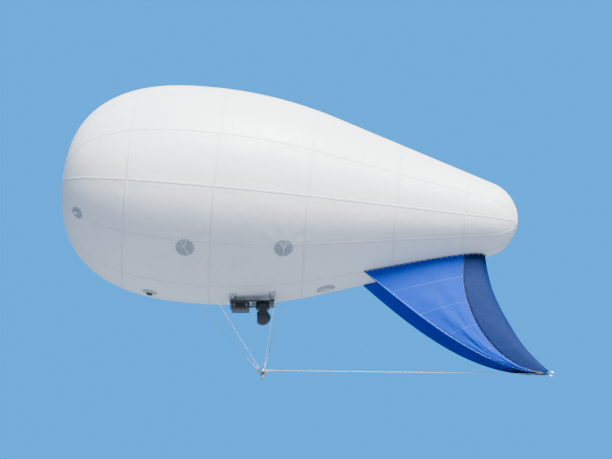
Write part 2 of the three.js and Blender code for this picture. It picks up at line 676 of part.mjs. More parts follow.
// A point of the scoop: down is 0 at the belly and 1 at the corner, round is -1 to 1 from hem to hem.
function scoopPoint(down, round) {
  const hem = outlinePoint(SCOOP_HEM, down);
  const stern = outlinePoint(SCOOP_STERN, down);
  const reach = SCOOP_BLUNTNESS * round ** 2 + (1 - SCOOP_BLUNTNESS) * round ** 4;
  const atTop = (share) => {
    const topX = SCOOP_STERN[0][0] + (SCOOP_HEM[0][0] - SCOOP_STERN[0][0]) * share;
    return SCOOP_STERN[0][1] + (SCOOP_HEM[0][1] - SCOOP_STERN[0][1]) * share
      - bellyHeight(topX, SCOOP_HALF_WIDTH[0] * round);
  };
  const x = stern.x + (hem.x - stern.x) * reach;
  const y = bezier(SCOOP_HALF_WIDTH, down) * round;
  const z = stern.z + (hem.z - stern.z) * reach - atTop(reach) * (1 - down) ** 3;
  return new THREE.Vector3(x, y, z);
}

function seamAt(down) {
  return SEAM.top + (SEAM.bottom - SEAM.top) * down ** SEAM.growth;
}

// A closed sheet of even thickness about a surface given over 0..1 both ways.
function sheet(surface, columns, rows, thick) {
  const positions = [];
  const step = 1e-3; // for the surface's direction
  for (const side of [0.5, -0.5]) {
    for (let j = 0; j <= rows; j++) {
      for (let i = 0; i <= columns; i++) {
        const u = i / columns;
        const v = j / rows;
        const across = surface(Math.min(1, u + step), v).sub(surface(Math.max(0, u - step), v));
        const along = surface(u, Math.min(1, v + step)).sub(surface(u, Math.max(0, v - step)));
        const point = surface(u, v).addScaledVector(across.cross(along).normalize(), side * thick);
        positions.push(point.x, point.y, point.z);
      }
    }
  }
  const width = columns + 1;
  const far = width * (rows + 1);
  const index = [];
  const quad = (a, b, c, d) => index.push(a, b, c, a, c, d);
  for (let j = 0; j < rows; j++) {
    for (let i = 0; i < columns; i++) {
      const a = j * width + i;
      quad(a, a + 1, a + width + 1, a + width);
      quad(far + a, far + a + width, far + a + width + 1, far + a + 1);
    }
  }
  for (let i = 0; i < columns; i++) {
    const last = rows * width + i;
    quad(i, far + i, far + i + 1, i + 1);
    quad(last, last + 1, far + last + 1, far + last);
  }
  for (let j = 0; j < rows; j++) {
    const left = j * width;
    const right = left + columns;
    quad(left, left + width, far + left + width, far + left);
    quad(right, far + right, far + right + width, right + width);
  }
  const geometry = new THREE.BufferGeometry();
  geometry.setAttribute('position', new THREE.Float32BufferAttribute(positions, 3));
  geometry.setIndex(index);
  return geometry;
}

const SCOOP_RISE = 70; // the cloth is drawn this far into the belly and cut back to it
const SEAM_GAP = 0.002; // in parts of the way round

function scoopPanel(from, to, end, columns) {
  const surface = (u, v) => {
    const down = v * end;
    const point = scoopPoint(down, from(down) + (to(down) - from(down)) * u);
    const atTopRow = v < 0.5 / SCOOP_ROWS;
    if (atTopRow) point.z += SCOOP_RISE;
    return point;
  };
  return solid(sheet(surface, columns, SCOOP_ROWS, SCOOP_THICK)).subtract(abovePatch);
}

// A ribbon on the belly that follows the scoop's top edge, which is laced to it.
function lacingStrip() {
  const STEPS = 24;
  const edge = (offset) => {
    const points = [];
    for (let i = 0; i <= STEPS; i++) {
      const round = -1 + (2 * i) / STEPS;
      const here = scoopPoint(0, round);
      const ahead = scoopPoint(0, Math.min(1, round + 0.01));
      const behind = scoopPoint(0, Math.max(-1, round - 0.01));
      const way = new THREE.Vector2(ahead.x - behind.x, ahead.y - behind.y).normalize();
      points.push(new THREE.Vector2(here.x + way.y * offset, here.y - way.x * offset));
    }
    return points;
  };
  const outline = [...edge(LACING_HALF_WIDTH), ...edge(-LACING_HALF_WIDTH).reverse()];
  const blank = plate(new THREE.Shape(outline), -ENVELOPE_RADIUS, ENVELOPE_RADIUS);
  return patchFrom(solid(blank));
}

function scoopPieces() {
  const seam = (down) => seamAt(down) + SEAM_GAP;
  const one = () => 1;
  const port = scoopPanel(seam, one, SIDE_PANEL_END, SIDE_COLUMNS);
  const starboard = scoopPanel(() => -1, (down) => -seam(down), SIDE_PANEL_END, SIDE_COLUMNS);
  const stern = scoopPanel((down) => SEAM_GAP - seamAt(down), (down) => seamAt(down) - SEAM_GAP,
    STERN_PANEL_END, STERN_COLUMNS);
  const ring = new THREE.TorusGeometry(CORNER_RING.radius, CORNER_RING.tube, 8, 20)
    .rotateX(Math.PI / 2)
    .translate(corner.x, corner.y, corner.z);
  return [
    piece('scoop_lacing_strip', geometryOf(lacingStrip()), 'webbing'),
    piece('scoop_side_port', geometryOf(port), 'scoopBlue'),
    piece('scoop_side_starboard', geometryOf(starboard), 'scoopBlue'),
    piece('scoop_stern_panel', geometryOf(stern), 'scoopNavy'),
    piece('scoop_corner_ring', ring, 'steel'),
  ];
}

export default (() => {
  const balloon = new THREE.Group();
  const envelope = new THREE.Group();
  envelope.rotation.y = -TRIM;
  envelope.add(...envelopePieces());
  envelope.add(...gasFitting('inflation_port', 'inflation_cap', INFLATION_PORT, 'darkPlastic'));
  envelope.add(...gasFitting('relief_valve', 'relief_valve_cover', RELIEF_VALVE, 'plastic'));
  for (const patch of SIDE_PATCHES) {
    for (const side of [1, -1]) {
      const disc = patchFrom(plug(patch.radius, patch.x, side * patch.angle));
      envelope.add(piece(`load_patch_${patch.name}_${sideName(side)}`, geometryOf(disc), 'patch'));
    }
  }
  for (const side of [1, -1]) envelope.add(tiePiece(`nose_tie_${sideName(side)}`, side));
  envelope.add(bellyBand('belly_band_front', PAYLOAD.front - HANGER.inset));
  envelope.add(bellyBand('belly_band_rear', PAYLOAD.rear + HANGER.inset));
  envelope.add(...scoopPieces());
  balloon.add(envelope, ...payloadPieces(), ...turretPieces(), ...bridlePieces());
  balloon.add(piece('swivel_housing', swivelHousing(), 'steel'));
  balloon.add(piece('tether_clevis', tetherClevis(), 'steel'));
  return balloon;
})();
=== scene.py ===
# %% [markdown]
# # A tethered kite balloon
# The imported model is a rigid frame: every solid already has its place, its size and its body.
# This lesson dresses it. The gas bag, the patches and the cloth scoop are rebuilt as cloth,
# the stays become laid rope, and the turret and fittings get their machined edges.
# Everything is in metres, with +X to the nose, +Y to port and +Z up.

# %% Load the frame
import json
import math

import bmesh
import bpy
import numpy as np
from mathutils import Matrix, Vector

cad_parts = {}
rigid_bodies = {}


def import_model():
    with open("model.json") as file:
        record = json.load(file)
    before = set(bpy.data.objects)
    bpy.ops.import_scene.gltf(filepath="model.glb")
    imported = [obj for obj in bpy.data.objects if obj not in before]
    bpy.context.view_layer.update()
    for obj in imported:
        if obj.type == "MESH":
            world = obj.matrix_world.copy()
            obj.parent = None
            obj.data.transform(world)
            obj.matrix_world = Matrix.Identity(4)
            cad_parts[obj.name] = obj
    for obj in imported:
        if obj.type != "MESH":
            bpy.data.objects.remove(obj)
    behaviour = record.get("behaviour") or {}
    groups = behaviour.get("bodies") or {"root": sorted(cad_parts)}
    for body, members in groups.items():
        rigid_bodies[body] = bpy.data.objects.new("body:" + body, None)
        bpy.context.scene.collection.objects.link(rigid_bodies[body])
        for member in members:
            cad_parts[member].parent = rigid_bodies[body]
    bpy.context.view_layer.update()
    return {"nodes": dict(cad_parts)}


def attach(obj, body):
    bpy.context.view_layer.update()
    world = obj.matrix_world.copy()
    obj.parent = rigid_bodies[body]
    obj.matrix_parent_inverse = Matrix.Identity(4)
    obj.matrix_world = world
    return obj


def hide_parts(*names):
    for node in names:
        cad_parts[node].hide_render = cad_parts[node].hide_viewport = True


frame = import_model()

# %% [markdown]
# ## A board for node trees
# Materials, light and geometry are all trees of nodes here. Written out in full, a node takes four
# or five lines, and the tree is lost among them. One short class adds a node, sets or links its
# inputs and hands it back, so that a tree reads as a list of its nodes.

# %% Node board
class Board:
    """Adds nodes to a tree. An input is given a value, or another node's output to link."""

    def __init__(self, tree):
        self.tree = tree

    def add(self, kind, inputs=None, **settings):
        node = self.tree.nodes.new(kind)
        for key, value in settings.items():
            setattr(node, key, value)
        for key, value in (inputs or {}).items():
            self.put(node, key, value)
        return node

    def out(self, kind, inputs=None, **settings):
        """Adds a node and hands back its first output."""
        return self.add(kind, inputs, **settings).outputs[0]

    def put(self, node, key, value):
        if isinstance(value, bpy.types.NodeSocket):
            self.tree.links.new(value, node.inputs[key])
        else:
            node.inputs[key].default_value = value

    def math(self, operation, *values):
        return self.out("ShaderNodeMath", dict(enumerate(values)), operation=operation)

    def times(self, first, second):
        return self.math("MULTIPLY", first, second)

    def mix(self, factor, first, second):
        """Mixes two colours."""
        node = self.add("ShaderNodeMix", data_type="RGBA")
        for socket, value in zip((0, 6, 7), (factor, first, second)):
            self.put(node, socket, value)
        return node.outputs[2]

    def ramp(self, value, low, high, to_low=0.0, to_high=1.0):
        """Maps low..high to to_low..to_high and clamps."""
        return self.out("ShaderNodeMapRange", dict(enumerate((value, low, high, to_low, to_high))))

    def noise(self, vector, scale, detail, roughness=0.5):
        inputs = {"Vector": vector, "Scale": scale, "Detail": detail, "Roughness": roughness}
        return self.out("ShaderNodeTexNoise", inputs)


# %% [markdown]
# ## Floor, light and camera
# The balloon flies high, and the picture is taken from the ground with a long lens, looking up
# about twenty degrees at its port side. The floor is pale and far below. A sky texture could light
# it, but its sun and its colour can't be set apart. So a wide soft sun stands high on the port side,
# and the sky is one plain colour for the camera and another one for the light in the shadows.

# %% Camera
LOOK_AT = Vector((-1.44, 0.0, -0.72))
LOOK_UP = math.radians(20)
CAMERA_DISTANCE = 80.0
FRAME_WIDTH = 13.4  # metres across the picture at the balloon
SENSOR = 36.0
EYE_HEIGHT = 0.3


def linked(name, data):
    """A new object of the scene that holds this data."""
    thing = bpy.data.objects.new(name, data)
    bpy.context.scene.collection.objects.link(thing)
    return thing


camera = linked("camera", bpy.data.cameras.new("camera"))
back = Vector((0.0, math.cos(LOOK_UP), -math.sin(LOOK_UP)))
camera.location = LOOK_AT + back * CAMERA_DISTANCE
camera.rotation_euler = (-back).to_track_quat("-Z", "Y").to_euler()
camera.data.sensor_width = SENSOR
camera.data.lens = SENSOR * CAMERA_DISTANCE / FRAME_WIDTH
camera.data.clip_end = 1000.0
bpy.context.scene.camera = camera
print(f"camera {CAMERA_DISTANCE:.0f} m away, looking up {math.degrees(LOOK_UP):.0f} degrees")

# %% Floor
FLOOR_SIZE = 900.0
PALE_FLOOR = (0.11, 0.135, 0.17, 1)  # reads as pale grey under this sun
FLOOR_ROUGHNESS = 0.9
floor_height = camera.location.z - EYE_HEIGHT
floor_mesh = bpy.data.meshes.new("floor")
half = FLOOR_SIZE / 2
corners = [(-half, -half), (half, -half), (half, half), (-half, half)]
floor_mesh.from_pydata([(x, y, floor_height) for x, y in corners], [], [(0, 1, 2, 3)])
floor = linked("floor", floor_mesh)
floor_finish = bpy.data.materials.new("pale floor")
floor_finish.use_nodes = True
floor_inputs = floor_finish.node_tree.nodes["Principled BSDF"].inputs
floor_inputs["Base Color"].default_value = PALE_FLOOR
floor_inputs["Roughness"].default_value = FLOOR_ROUGHNESS
floor_mesh.materials.append(floor_finish)
print(f"floor {-floor_height:.1f} m below the balloon")

# %% Sun
def sun(name, strength, softness, toward, color):
    """A soft sun. toward is the way to it from the balloon."""
    light = bpy.data.lights.new(name, "SUN")
    light.energy = strength
    light.angle = math.radians(softness)
    light.color = color
    lamp = linked(name, light)
    lamp.rotation_euler = Vector(toward).to_track_quat("Z", "Y").to_euler()
    print(f"{name} light, {softness} degrees wide")


sun("key", 20.0, 28, (-0.32, 0.66, 1.0), (1.0, 0.99, 0.97))
sun("fill", 0.15, 60, (0.2, 1.0, -0.2), (0.7, 0.82, 1.0))

# %% Sky
SKY_SEEN, SKY_SEEN_STRENGTH = (0.0, 0.33, 1.0, 1), 1.55
SKY_LIGHT, SKY_LIGHT_STRENGTH = (0.38, 0.60, 1.0, 1), 0.50
world = bpy.data.worlds.new("plain sky")
world.use_nodes = True
board = Board(world.node_tree)
seen = world.node_tree.nodes["Background"]
board.put(seen, "Color", SKY_SEEN)
board.put(seen, "Strength", SKY_SEEN_STRENGTH)
lighting = board.out("ShaderNodeBackground", {"Color": SKY_LIGHT, "Strength": SKY_LIGHT_STRENGTH})
to_camera = board.add("ShaderNodeLightPath").outputs["Is Camera Ray"]
either = board.out("ShaderNodeMixShader", {0: to_camera, 1: lighting, 2: seen.outputs[0]})
board.put(world.node_tree.nodes["World Output"], "Surface", either)
bpy.context.scene.world = world
print("sky seen as", SKY_SEEN[:3], "and lighting as", SKY_LIGHT[:3])

# %% [markdown]
# ## Effects that finishes share
# Cloth, webbing and rope get their look from threads. An image of a weave would blur close to, so
# one group makes it from the piece's own UV map, which counts metres. A second group makes
# weathering: soft blotches, and finer streaks. Each material places them with its own values.

# %% Weathering
VECTOR, FLOAT = "NodeSocketVector", "NodeSocketFloat"


def effect(name, inputs, outputs):
    """An empty shader group with named value inputs, and its board and ends."""
    group = bpy.data.node_groups.new(name, "ShaderNodeTree")
    for label, kind, value in inputs:
        socket = group.interface.new_socket(label, in_out="INPUT", socket_type=kind)
        if value is not None:
            socket.default_value = value
    for label in outputs:
        group.interface.new_socket(label, in_out="OUTPUT", socket_type="NodeSocketFloat")
    board = Board(group)
    return group, board, board.add("NodeGroupInput").outputs, board.add("NodeGroupOutput")


weathering, board, given, result = effect(
    "Weathering",
    [("Vector", VECTOR, None), ("Blotch size", FLOAT, 1.0), ("Streak size", FLOAT, 0.1)],
    ["Blotches", "Streaks"],
)
blotches = board.noise(given["Vector"], board.math("DIVIDE", 1.0, given["Blotch size"]), 5.0)
streaks = board.noise(given["Vector"], board.math("DIVIDE", 1.0, given["Streak size"]), 7.0, 0.65)
board.put(result, "Blotches", board.ramp(blotches, 0.38, 0.68))
board.put(result, "Streaks", board.ramp(streaks, 0.42, 0.72))
print(f"{weathering.name}: {len(weathering.nodes)} nodes")

# %% Weave
RIPSTOP_SHARPNESS = 14.0
weave, board, given, result = effect(
    "Weave",
    [("Thread", FLOAT, 0.001), ("Ripstop", FLOAT, 0.008), ("Ripstop height", FLOAT, 0.5)],
    ["Height"],
)
cloth_uv = board.out("ShaderNodeUVMap", uv_map="UVMap")
ways = board.add("ShaderNodeSeparateXYZ", {0: cloth_uv}).outputs


def threads(along, size):
    """Round ridges, one for each thread, along one way of the cloth."""
    wave = board.math("SINE", board.times(board.math("DIVIDE", along, size), math.tau))
    return board.math("MULTIPLY_ADD", wave, 0.5, 0.5)


warp, weft = (threads(ways[i], given["Thread"]) for i in (0, 1))
cords = [board.math("POWER", threads(ways[i], given["Ripstop"]), RIPSTOP_SHARPNESS) for i in (0, 1)]
raised = board.times(board.math("MAXIMUM", *cords), given["Ripstop height"])
board.put(result, "Height", board.math("ADD", board.math("MAXIMUM", warp, weft), raised))
print(f"{weave.name}: {len(weave.nodes)} nodes")

# %% [markdown]
# ## Finishes
# Every finish is a Principled material with a few nodes of its own in front. One big material with
# many numbers could serve them all, but each finish would carry nodes that it doesn't use. So a
# small class holds what they share.


class Finish:
    """A Principled material with its object coordinates and a board to add nodes on."""

    def __init__(self, name, slot, color, roughness, metallic=0.0):
        self.material = bpy.data.materials.new(name)
        self.material.use_nodes = True
        self.board = Board(self.material.node_tree)
        self.shader = self.material.node_tree.nodes["Principled BSDF"]
        self.output = self.material.node_tree.nodes["Material Output"]
        self.color = (*color, 1)
        self.put("Base Color", self.color)
        self.put("Roughness", roughness)
        self.put("Metallic", metallic)
        self.place = self.board.add("ShaderNodeTexCoord").outputs["Object"]

    def put(self, key, value):
        self.board.put(self.shader, key, value)

    def group(self, tree, **values):
        """Places a shared effect. A value's name is its input's, with a _ for each space."""
        node = self.board.add("ShaderNodeGroup", node_tree=tree)
        for key, value in values.items():
            self.board.put(node, key.replace("_", " ").capitalize(), value)
        return node.outputs

    def weather(self, blotch, streak):
        """The masks of weathering whose blotches and streaks have these sizes."""
        return self.group(weathering, vector=self.place, blotch_size=blotch, streak_size=streak)

    def mottle(self, blotch, streak, worn, by="Streaks"):
        """Mixes the base colour with a worn one by one of the weathering masks."""
        masks = self.weather(blotch, streak)
        self.put("Base Color", self.board.mix(masks[by], self.color, (*worn, 1)))
        return masks

    def drawn(self, scale, detail):
        """Noise that is drawn out by its own scale along X, Y and Z."""
        stretched = self.board.out("ShaderNodeMapping", {"Vector": self.place, "Scale": scale})
        return self.board.noise(stretched, 1.0, detail)

    def weave(self, thread, ripstop, ripstop_height):
        return self.group(weave, thread=thread, ripstop=ripstop, ripstop_height=ripstop_height)["Height"]

    def bump(self, height, distance, before=None):
        """A bump that is distance deep, on top of another one where that is given."""
        inputs = {"Height": height, "Distance": distance, "Strength": 1.0}
        if before is not None:
            inputs["Normal"] = before
        normal = self.board.out("ShaderNodeBump", inputs)
        self.put("Normal", normal)
        return normal


# %% [markdown]
# ## Cloth finishes
# The gas bag is white coated cloth: smooth, a little glossy, and soiled in faint blotches. Close to
# each seam it is drawn into small puckers. They could be modelled, but they are a few millimetres
# high and run for a hundred metres, so they are a bump that follows an attribute, the distance to
# the seam. Patches, tapes and webbing are the same woven cloth with other threads and colours.

# %% Gas bag cloth
def skin_finish():
    finish = Finish("white coated cloth", "skin", (0.86, 0.88, 0.9), 0.42)
    board = finish.board
    masks = finish.weather(1.6, 0.22)
    soil = board.times(masks["Blotches"], board.math("MULTIPLY_ADD", masks["Streaks"], 0.6, 0.4))
    soiled = board.mix(board.times(soil, 0.55), finish.color, (0.70, 0.72, 0.75, 1))
    finish.put("Base Color", soiled)
    finish.put("Roughness", board.ramp(masks["Streaks"], 0, 1, 0.38, 0.52))
    seam = board.add("ShaderNodeAttribute", attribute_name="seam_distance").outputs["Fac"]
    near = board.ramp(seam, 0.0, 0.16, 1.0, 0.0)
    folds = finish.drawn((11.0, 3.0, 3.0), 2.0)
    normal = finish.bump(board.times(folds, near), 0.012)
    normal = finish.bump(board.noise(finish.place, 1.3, 3.0), 0.02, normal)
    finish.bump(finish.weave(0.0016, 0.012, 0.3), 0.0001, normal)
    finish.put("Coat Weight", 0.12)
    finish.put("Coat Roughness", 0.35)
    return finish.material


SKIN = skin_finish()
print("made", SKIN.name)


# %% Patches, tapes and webbing
def woven(name, slot, clean, worn, roughness, wear, threads, depth, specular=0.5, sheen=0.0):
    """Cloth. wear holds its blotch and streak sizes, threads the weave's values, depth its bump."""
    finish = Finish(name, slot, clean, roughness)
    finish.put("Specular IOR Level", specular)
    finish.put("Sheen Weight", sheen)
    finish.mottle(*wear, worn)
    finish.bump(finish.weave(*threads), depth)
    print("made", name)
    return finish.material


def colored_tape(name, slot, color):
    worn = tuple(0.6 * c for c in color)
    return woven(name, slot, color, worn, 0.7, (0.3, 0.03), (0.0018, 0.0072, 0.3), 0.0004, specular=0.2)


PATCH = woven("grey patch cloth", "patch", (0.33, 0.35, 0.39), (0.43, 0.45, 0.49), 0.6,
              (0.3, 0.04), (0.002, 0.014, 0.4), 0.00025)
TAPE = woven("white seam tape", "skin", (0.80, 0.82, 0.85), (0.66, 0.68, 0.71), 0.5,
             (0.9, 0.08), (0.0016, 0.02, 0.2), 0.00015)
WEBBING = woven("pale webbing", "webbing", (0.62, 0.64, 0.66), (0.45, 0.46, 0.47), 0.85,
                (0.3, 0.03), (0.0024, 0.0096, 0.2), 0.0006, sheen=0.2)
BLUE_TAPE = colored_tape("blue binding tape", "scoop_blue", (0.002, 0.075, 0.50))
NAVY_TAPE = colored_tape("navy seam tape", "scoop_navy", (0.0, 0.010, 0.07))

# %% [markdown]
# ## Sailcloth and rope
# The scoop is thin sailcloth, so the sky shows through it. Transmission would make it look like
# coloured glass. Cloth scatters the light that it lets through, so a translucent shader takes a
# share of the surface instead. The side panels are painted paler towards the hem, a painted light
# that stands for the sky shining through the cloth there. Rope needs no weave, because its strands
# are modelled, only a fuzz of fibres.

# %% Sailcloth and rope
def sailcloth(name, slot, deep, pale, glow, share):
    """Thin sailcloth. deep and pale are its colours away from the hem and at it; the paler hem is
    painted light.
    """
    finish = Finish(name, slot, deep, 0.7)
    finish.put("Specular IOR Level", 0.15)
    board = finish.board
    streaks = finish.weather(0.8, 0.06)["Streaks"]
    hem = board.add("ShaderNodeAttribute", attribute_name="toward_hem").outputs["Fac"]
    # painted light: the colour turns paler towards the hem, for sky shining through the cloth
    color = board.mix(board.ramp(hem, 0.35, 1.0), finish.color, (*pale, 1))
    color = board.mix(board.times(streaks, 0.25), color, (*(0.7 * c for c in deep), 1))
    finish.put("Base Color", color)
    normal = finish.bump(board.noise(finish.place, 5.0, 4.0), 0.012)
    normal = finish.bump(finish.weave(0.0012, 0.007, 0.8), 0.0003, normal)
    through = board.out("ShaderNodeBsdfTranslucent", {"Color": (*glow, 1), "Normal": normal})
    both = board.out("ShaderNodeMixShader", {0: share, 1: finish.shader.outputs[0], 2: through})
    board.put(finish.output, "Surface", both)
    print("made", name)
    return finish.material


def rope_finish():
    finish = Finish("laid rope", "rope", (0.72, 0.70, 0.62), 0.85)
    finish.mottle(0.4, 0.02, (0.50, 0.48, 0.42))
    finish.bump(finish.board.noise(finish.place, 900.0, 2.0), 0.0005)
    print("made", finish.material.name)
    return finish.material


BLUE = sailcloth("blue sailcloth", "scoop_blue", (0.0, 0.075, 0.56), (0.003, 0.10, 0.66),
                 (0.0, 0.09, 0.7), 0.5)
# painted shade: the stern's navy is its cloth's colour, and is made this dark also to stand in for the
# shade it lies in under the tail
NAVY = sailcloth("navy sailcloth", "scoop_navy", (0.0, 0.013, 0.085), (0.0, 0.015, 0.10),
                 (0.0, 0.02, 0.15), 0.12)
ROPE = rope_finish()

# %% [markdown]
# ## Hard finishes
# Hard parts differ mostly in how rough they are and in what lies on them. The turret and the box
# are powder coated, which leaves a fine orange-peel bump. The frame is anodised aluminium with
# faint rolling lines, which are noise stretched along one axis, and the swivel is stained steel.

# %% Hard materials
def painted(name, color, worn, low, high):
    """Powder coat on metal, between a low and a high roughness."""
    finish = Finish(name, "dark_metal", color, low)
    streaks = finish.mottle(0.15, 0.02, worn)["Streaks"]
    finish.put("Roughness", finish.board.ramp(streaks, 0, 1, low, high))
    finish.bump(finish.board.noise(finish.place, 420.0, 1.0), 0.0003)
    return finish.material


def bare_metal(name, slot, color, stained, low, high, lines):
    """Bare metal. lines is how the grain is stretched along X, Y and Z."""
    finish = Finish(name, slot, color, low, 1.0)
    finish.mottle(0.2, 0.03, stained, by="Blotches")
    grain = finish.drawn(lines, 4.0)
    finish.put("Roughness", finish.board.ramp(grain, 0.3, 0.7, low, high))
    finish.bump(grain, 0.0002)
    return finish.material


def moulded(name, slot, color, worn):
    finish = Finish(name, slot, color, 0.5)
    finish.mottle(0.2, 0.03, worn)
    finish.bump(finish.board.noise(finish.place, 900.0, 1.0), 0.0002)
    return finish.material


ROLLED, TURNED = (8, 260, 260), (40, 40, 700)
COATED = painted("dark powder coat", (0.018, 0.022, 0.028), (0.034, 0.040, 0.048), 0.36, 0.5)
CASE = painted("dark grey case paint", (0.040, 0.038, 0.036), (0.075, 0.072, 0.068), 0.42, 0.56)
# dark anodised aluminium for the frame, made this dark also as painted shade for the shadow it hangs in
# under the bag
ANODISED = bare_metal("dark anodised aluminium", "dark_metal", (0.11, 0.115, 0.125), (0.07, 0.07, 0.075),
                      0.35, 0.5, ROLLED)
ALUMINIUM = bare_metal("machined aluminium", "aluminium", (0.50, 0.52, 0.55), (0.36, 0.38, 0.40),
                       0.3, 0.5, ROLLED)
STEEL = bare_metal("turned steel", "steel", (0.42, 0.43, 0.45), (0.25, 0.25, 0.26), 0.25, 0.5, TURNED)
PLASTIC = moulded("light grey moulding", "plastic", (0.62, 0.64, 0.66), (0.50, 0.52, 0.54))
DARK_PLASTIC = moulded("black moulding", "dark_plastic", (0.02, 0.021, 0.023), (0.04, 0.042, 0.045))

# %% [markdown]
# ## The shape of the gas bag
# In profile the bag is a blunt nose, a round shoulder, a straight cone and a round cap. It is sewn
# from twelve gores, and gas pressure bulges each one a little between its seams. It could be blown
# up in a cloth simulation, but then nothing else would know where its surface is. Here one function
# gives any point of it, so that the bag, the tapes, the patches and the belly all agree.

# %% Outline of the bag
LENGTH = 10.0
RADIUS = 2.38
WIDEST = 3.04  # behind the nose
FULLNESS = 2.5
CONE = math.radians(17.8)
CAP_RADIUS = 0.84
ORIGIN = 3.907  # the row's origin, behind the nose
TRIM = math.radians(5.3)
GORES = 12
GORE = math.tau / GORES
FIRST_SEAM = GORE / 2  # up the side from the keel line
BULGE = 0.012
BULGE_FADE = 0.5  # from each pole, over which the bulges grow

CAP_CENTRE = LENGTH - CAP_RADIUS
CONE_END = CAP_CENTRE + CAP_RADIUS * math.sin(CONE)
CONE_END_RADIUS = CAP_RADIUS * math.cos(CONE)
SHOULDER = (CONE_END_RADIUS - RADIUS + math.tan(CONE) * (CONE_END - WIDEST)) / (
    math.tan(CONE) * math.sin(CONE) - (1 - math.cos(CONE))
)
SHOULDER_END = WIDEST + SHOULDER * math.sin(CONE)


def profile_radius(station):
    """Radius of the bag at a distance behind the nose."""
    s = np.clip(np.asarray(station, float), 0, LENGTH)
    ahead = np.clip((WIDEST - s) / WIDEST, 0, 1)
    nose = RADIUS * (1 - ahead**FULLNESS) ** (1 / FULLNESS)
    shoulder = RADIUS - SHOULDER + np.sqrt(SHOULDER**2 - np.clip(s - WIDEST, 0, SHOULDER) ** 2)
    cone = CONE_END_RADIUS + (CONE_END - s) * math.tan(CONE)
    cap = np.sqrt(np.clip(CAP_RADIUS**2 - (s - CAP_CENTRE) ** 2, 0, None))
    return np.select([s < WIDEST, s < SHOULDER_END, s < CONE_END], [nose, shoulder, cone], cap)


def level(vectors):
    """Turns points or directions of the trimmed bag into the row's frame."""
    x, y, z = np.moveaxis(np.asarray(vectors, float), -1, 0)
    cos, sin = math.cos(TRIM), math.sin(TRIM)
    return np.stack([x * cos - z * sin, y, x * sin + z * cos], axis=-1)


print(f"bag {LENGTH:.1f} m long and {2 * RADIUS:.2f} m wide")

# %% Gores and puckers
# x ahead of the origin, angle up the side from the keel line, radius of the patch
LOAD_PATCHES = {"fore": (0.990, math.radians(41), 0.215), "aft": (-1.110, math.radians(43), 0.215)}
SIDES = {"port": 1, "starboard": -1}
PUCKER_DEPTH = 0.005
PUCKER_FOLDS = 9
PUCKER_REACH, PUCKER_SPREAD = 0.44, 0.15
PUCKER_SWELL, SWELL_REACH = 0.007, 0.3  # the patch itself is drawn out


def puckers(x, angle, radius):
    """Folds that radiate from each load patch, where the stay draws the cloth in."""
    total = np.zeros(np.broadcast(x, angle).shape)
    for along, up, _ in LOAD_PATCHES.values():
        for side in SIDES.values():
            dx = x - along
            dy = radius * ((angle - side * up + math.pi) % math.tau - math.pi)
            distance = np.hypot(dx, dy)
            folds = np.cos(PUCKER_FOLDS * np.arctan2(dy, dx))
            total += PUCKER_DEPTH * folds * np.exp(-(((distance - PUCKER_REACH) / PUCKER_SPREAD) ** 2))
            total += PUCKER_SWELL * np.exp(-((distance / SWELL_REACH) ** 2))
    return total


def skin(x, angle, lift=0.0):
    """A point on the bag and its outward direction, both in the row's frame."""
    x, angle = np.broadcast_arrays(np.asarray(x, float), np.asarray(angle, float))
    station = ORIGIN - x
    radius = profile_radius(station)
    step = 1e-3
    slope = (profile_radius(station + step) - profile_radius(station - step)) / (2 * step)
    ends = np.clip(np.minimum(station, LENGTH - station) / BULGE_FADE, 0, 1)
    lobe = BULGE * (np.abs(np.sin((angle - FIRST_SEAM) * GORES / 2)) - 0.5) * ends
    size = np.hypot(slope, 1)
    outward = np.stack([slope, np.sin(angle), -np.cos(angle)], axis=-1) / size[..., None]
    point = np.stack([x, radius * np.sin(angle), -radius * np.cos(angle)], axis=-1)
    height = lobe + puckers(x, angle, radius) + lift
    return level(point + outward * height[..., None]), level(outward)


print("keel point under the origin:", skin(0.0, 0.0)[0].round(3))


# %% [markdown]
# ## The gas bag
# The bag is a grid of rings and meridians with a single point at each pole. A spin of the profile
# would give even rings, but here they lie closer where the profile bends more. Each point also
# stores how far it is from the nearest seam, which the cloth finish reads to draw its puckers.

# %% Angles and faces of a grid
def turns(count, shift=0.0):
    """Even angles round a full turn, moved on by a share of their step."""
    return (np.arange(count) + shift) * math.tau / count


def grid_faces(rows, columns, wrap=False):
    """Quads of a grid of rows by columns of points, numbered row by row."""
    faces = []
    for row in range(0, (rows - 1) * columns, columns):
        below = row + columns
        for i in range(columns if wrap else columns - 1):
            k = (i + 1) % columns
            faces.append((row + i, row + k, below + k, below + i))
    return faces


def ring_faces(rows, columns):
    """Quads of a grid that closes on itself both ways."""
    count = rows * columns
    return [tuple(i % count for i in face) for face in grid_faces(rows + 1, columns, wrap=True)]


def closed_rings(points, ends):
    """A closed body of rings of points, with an end point over the first and one under the last."""
    rows, columns = points.shape[:2]
    faces = grid_faces(rows, columns, wrap=True)
    first, last = rows * columns, (rows - 1) * columns
    for i in range(columns):
        k = (i + 1) % columns
        faces += [(first, k, i), (first + 1, last + i, last + k)]
    return np.concatenate([points.reshape(-1, 3), np.reshape(ends, (2, 3))]), faces


print("seams at", np.degrees(turns(GORES, 0.5)).round().astype(int), "degrees from the keel line")


# %% Pieces from points
def new_piece(name, points, faces, material, uv=None, closed=False):
    """A mesh object at the origin. uv gives one pair for each point. A closed one faces outwards."""
    mesh = bpy.data.meshes.new(name)
    mesh.from_pydata(np.asarray(points, float).reshape(-1, 3).tolist(), [], faces)
    if closed:
        shape = bmesh.new()
        shape.from_mesh(mesh)
        bmesh.ops.recalc_face_normals(shape, faces=shape.faces)
        shape.to_mesh(mesh)
        shape.free()
    mesh.materials.append(material)
    if uv is not None:
        pairs = np.asarray(uv, float).reshape(-1, 2)
        corner_points = np.empty(len(mesh.loops), int)
        mesh.loops.foreach_get("vertex_index", corner_points)
        layer = mesh.uv_layers.new(name="UVMap")
        layer.data.foreach_set("uv", pairs[corner_points].ravel())
    mesh.shade_smooth()
    return linked(name, mesh)


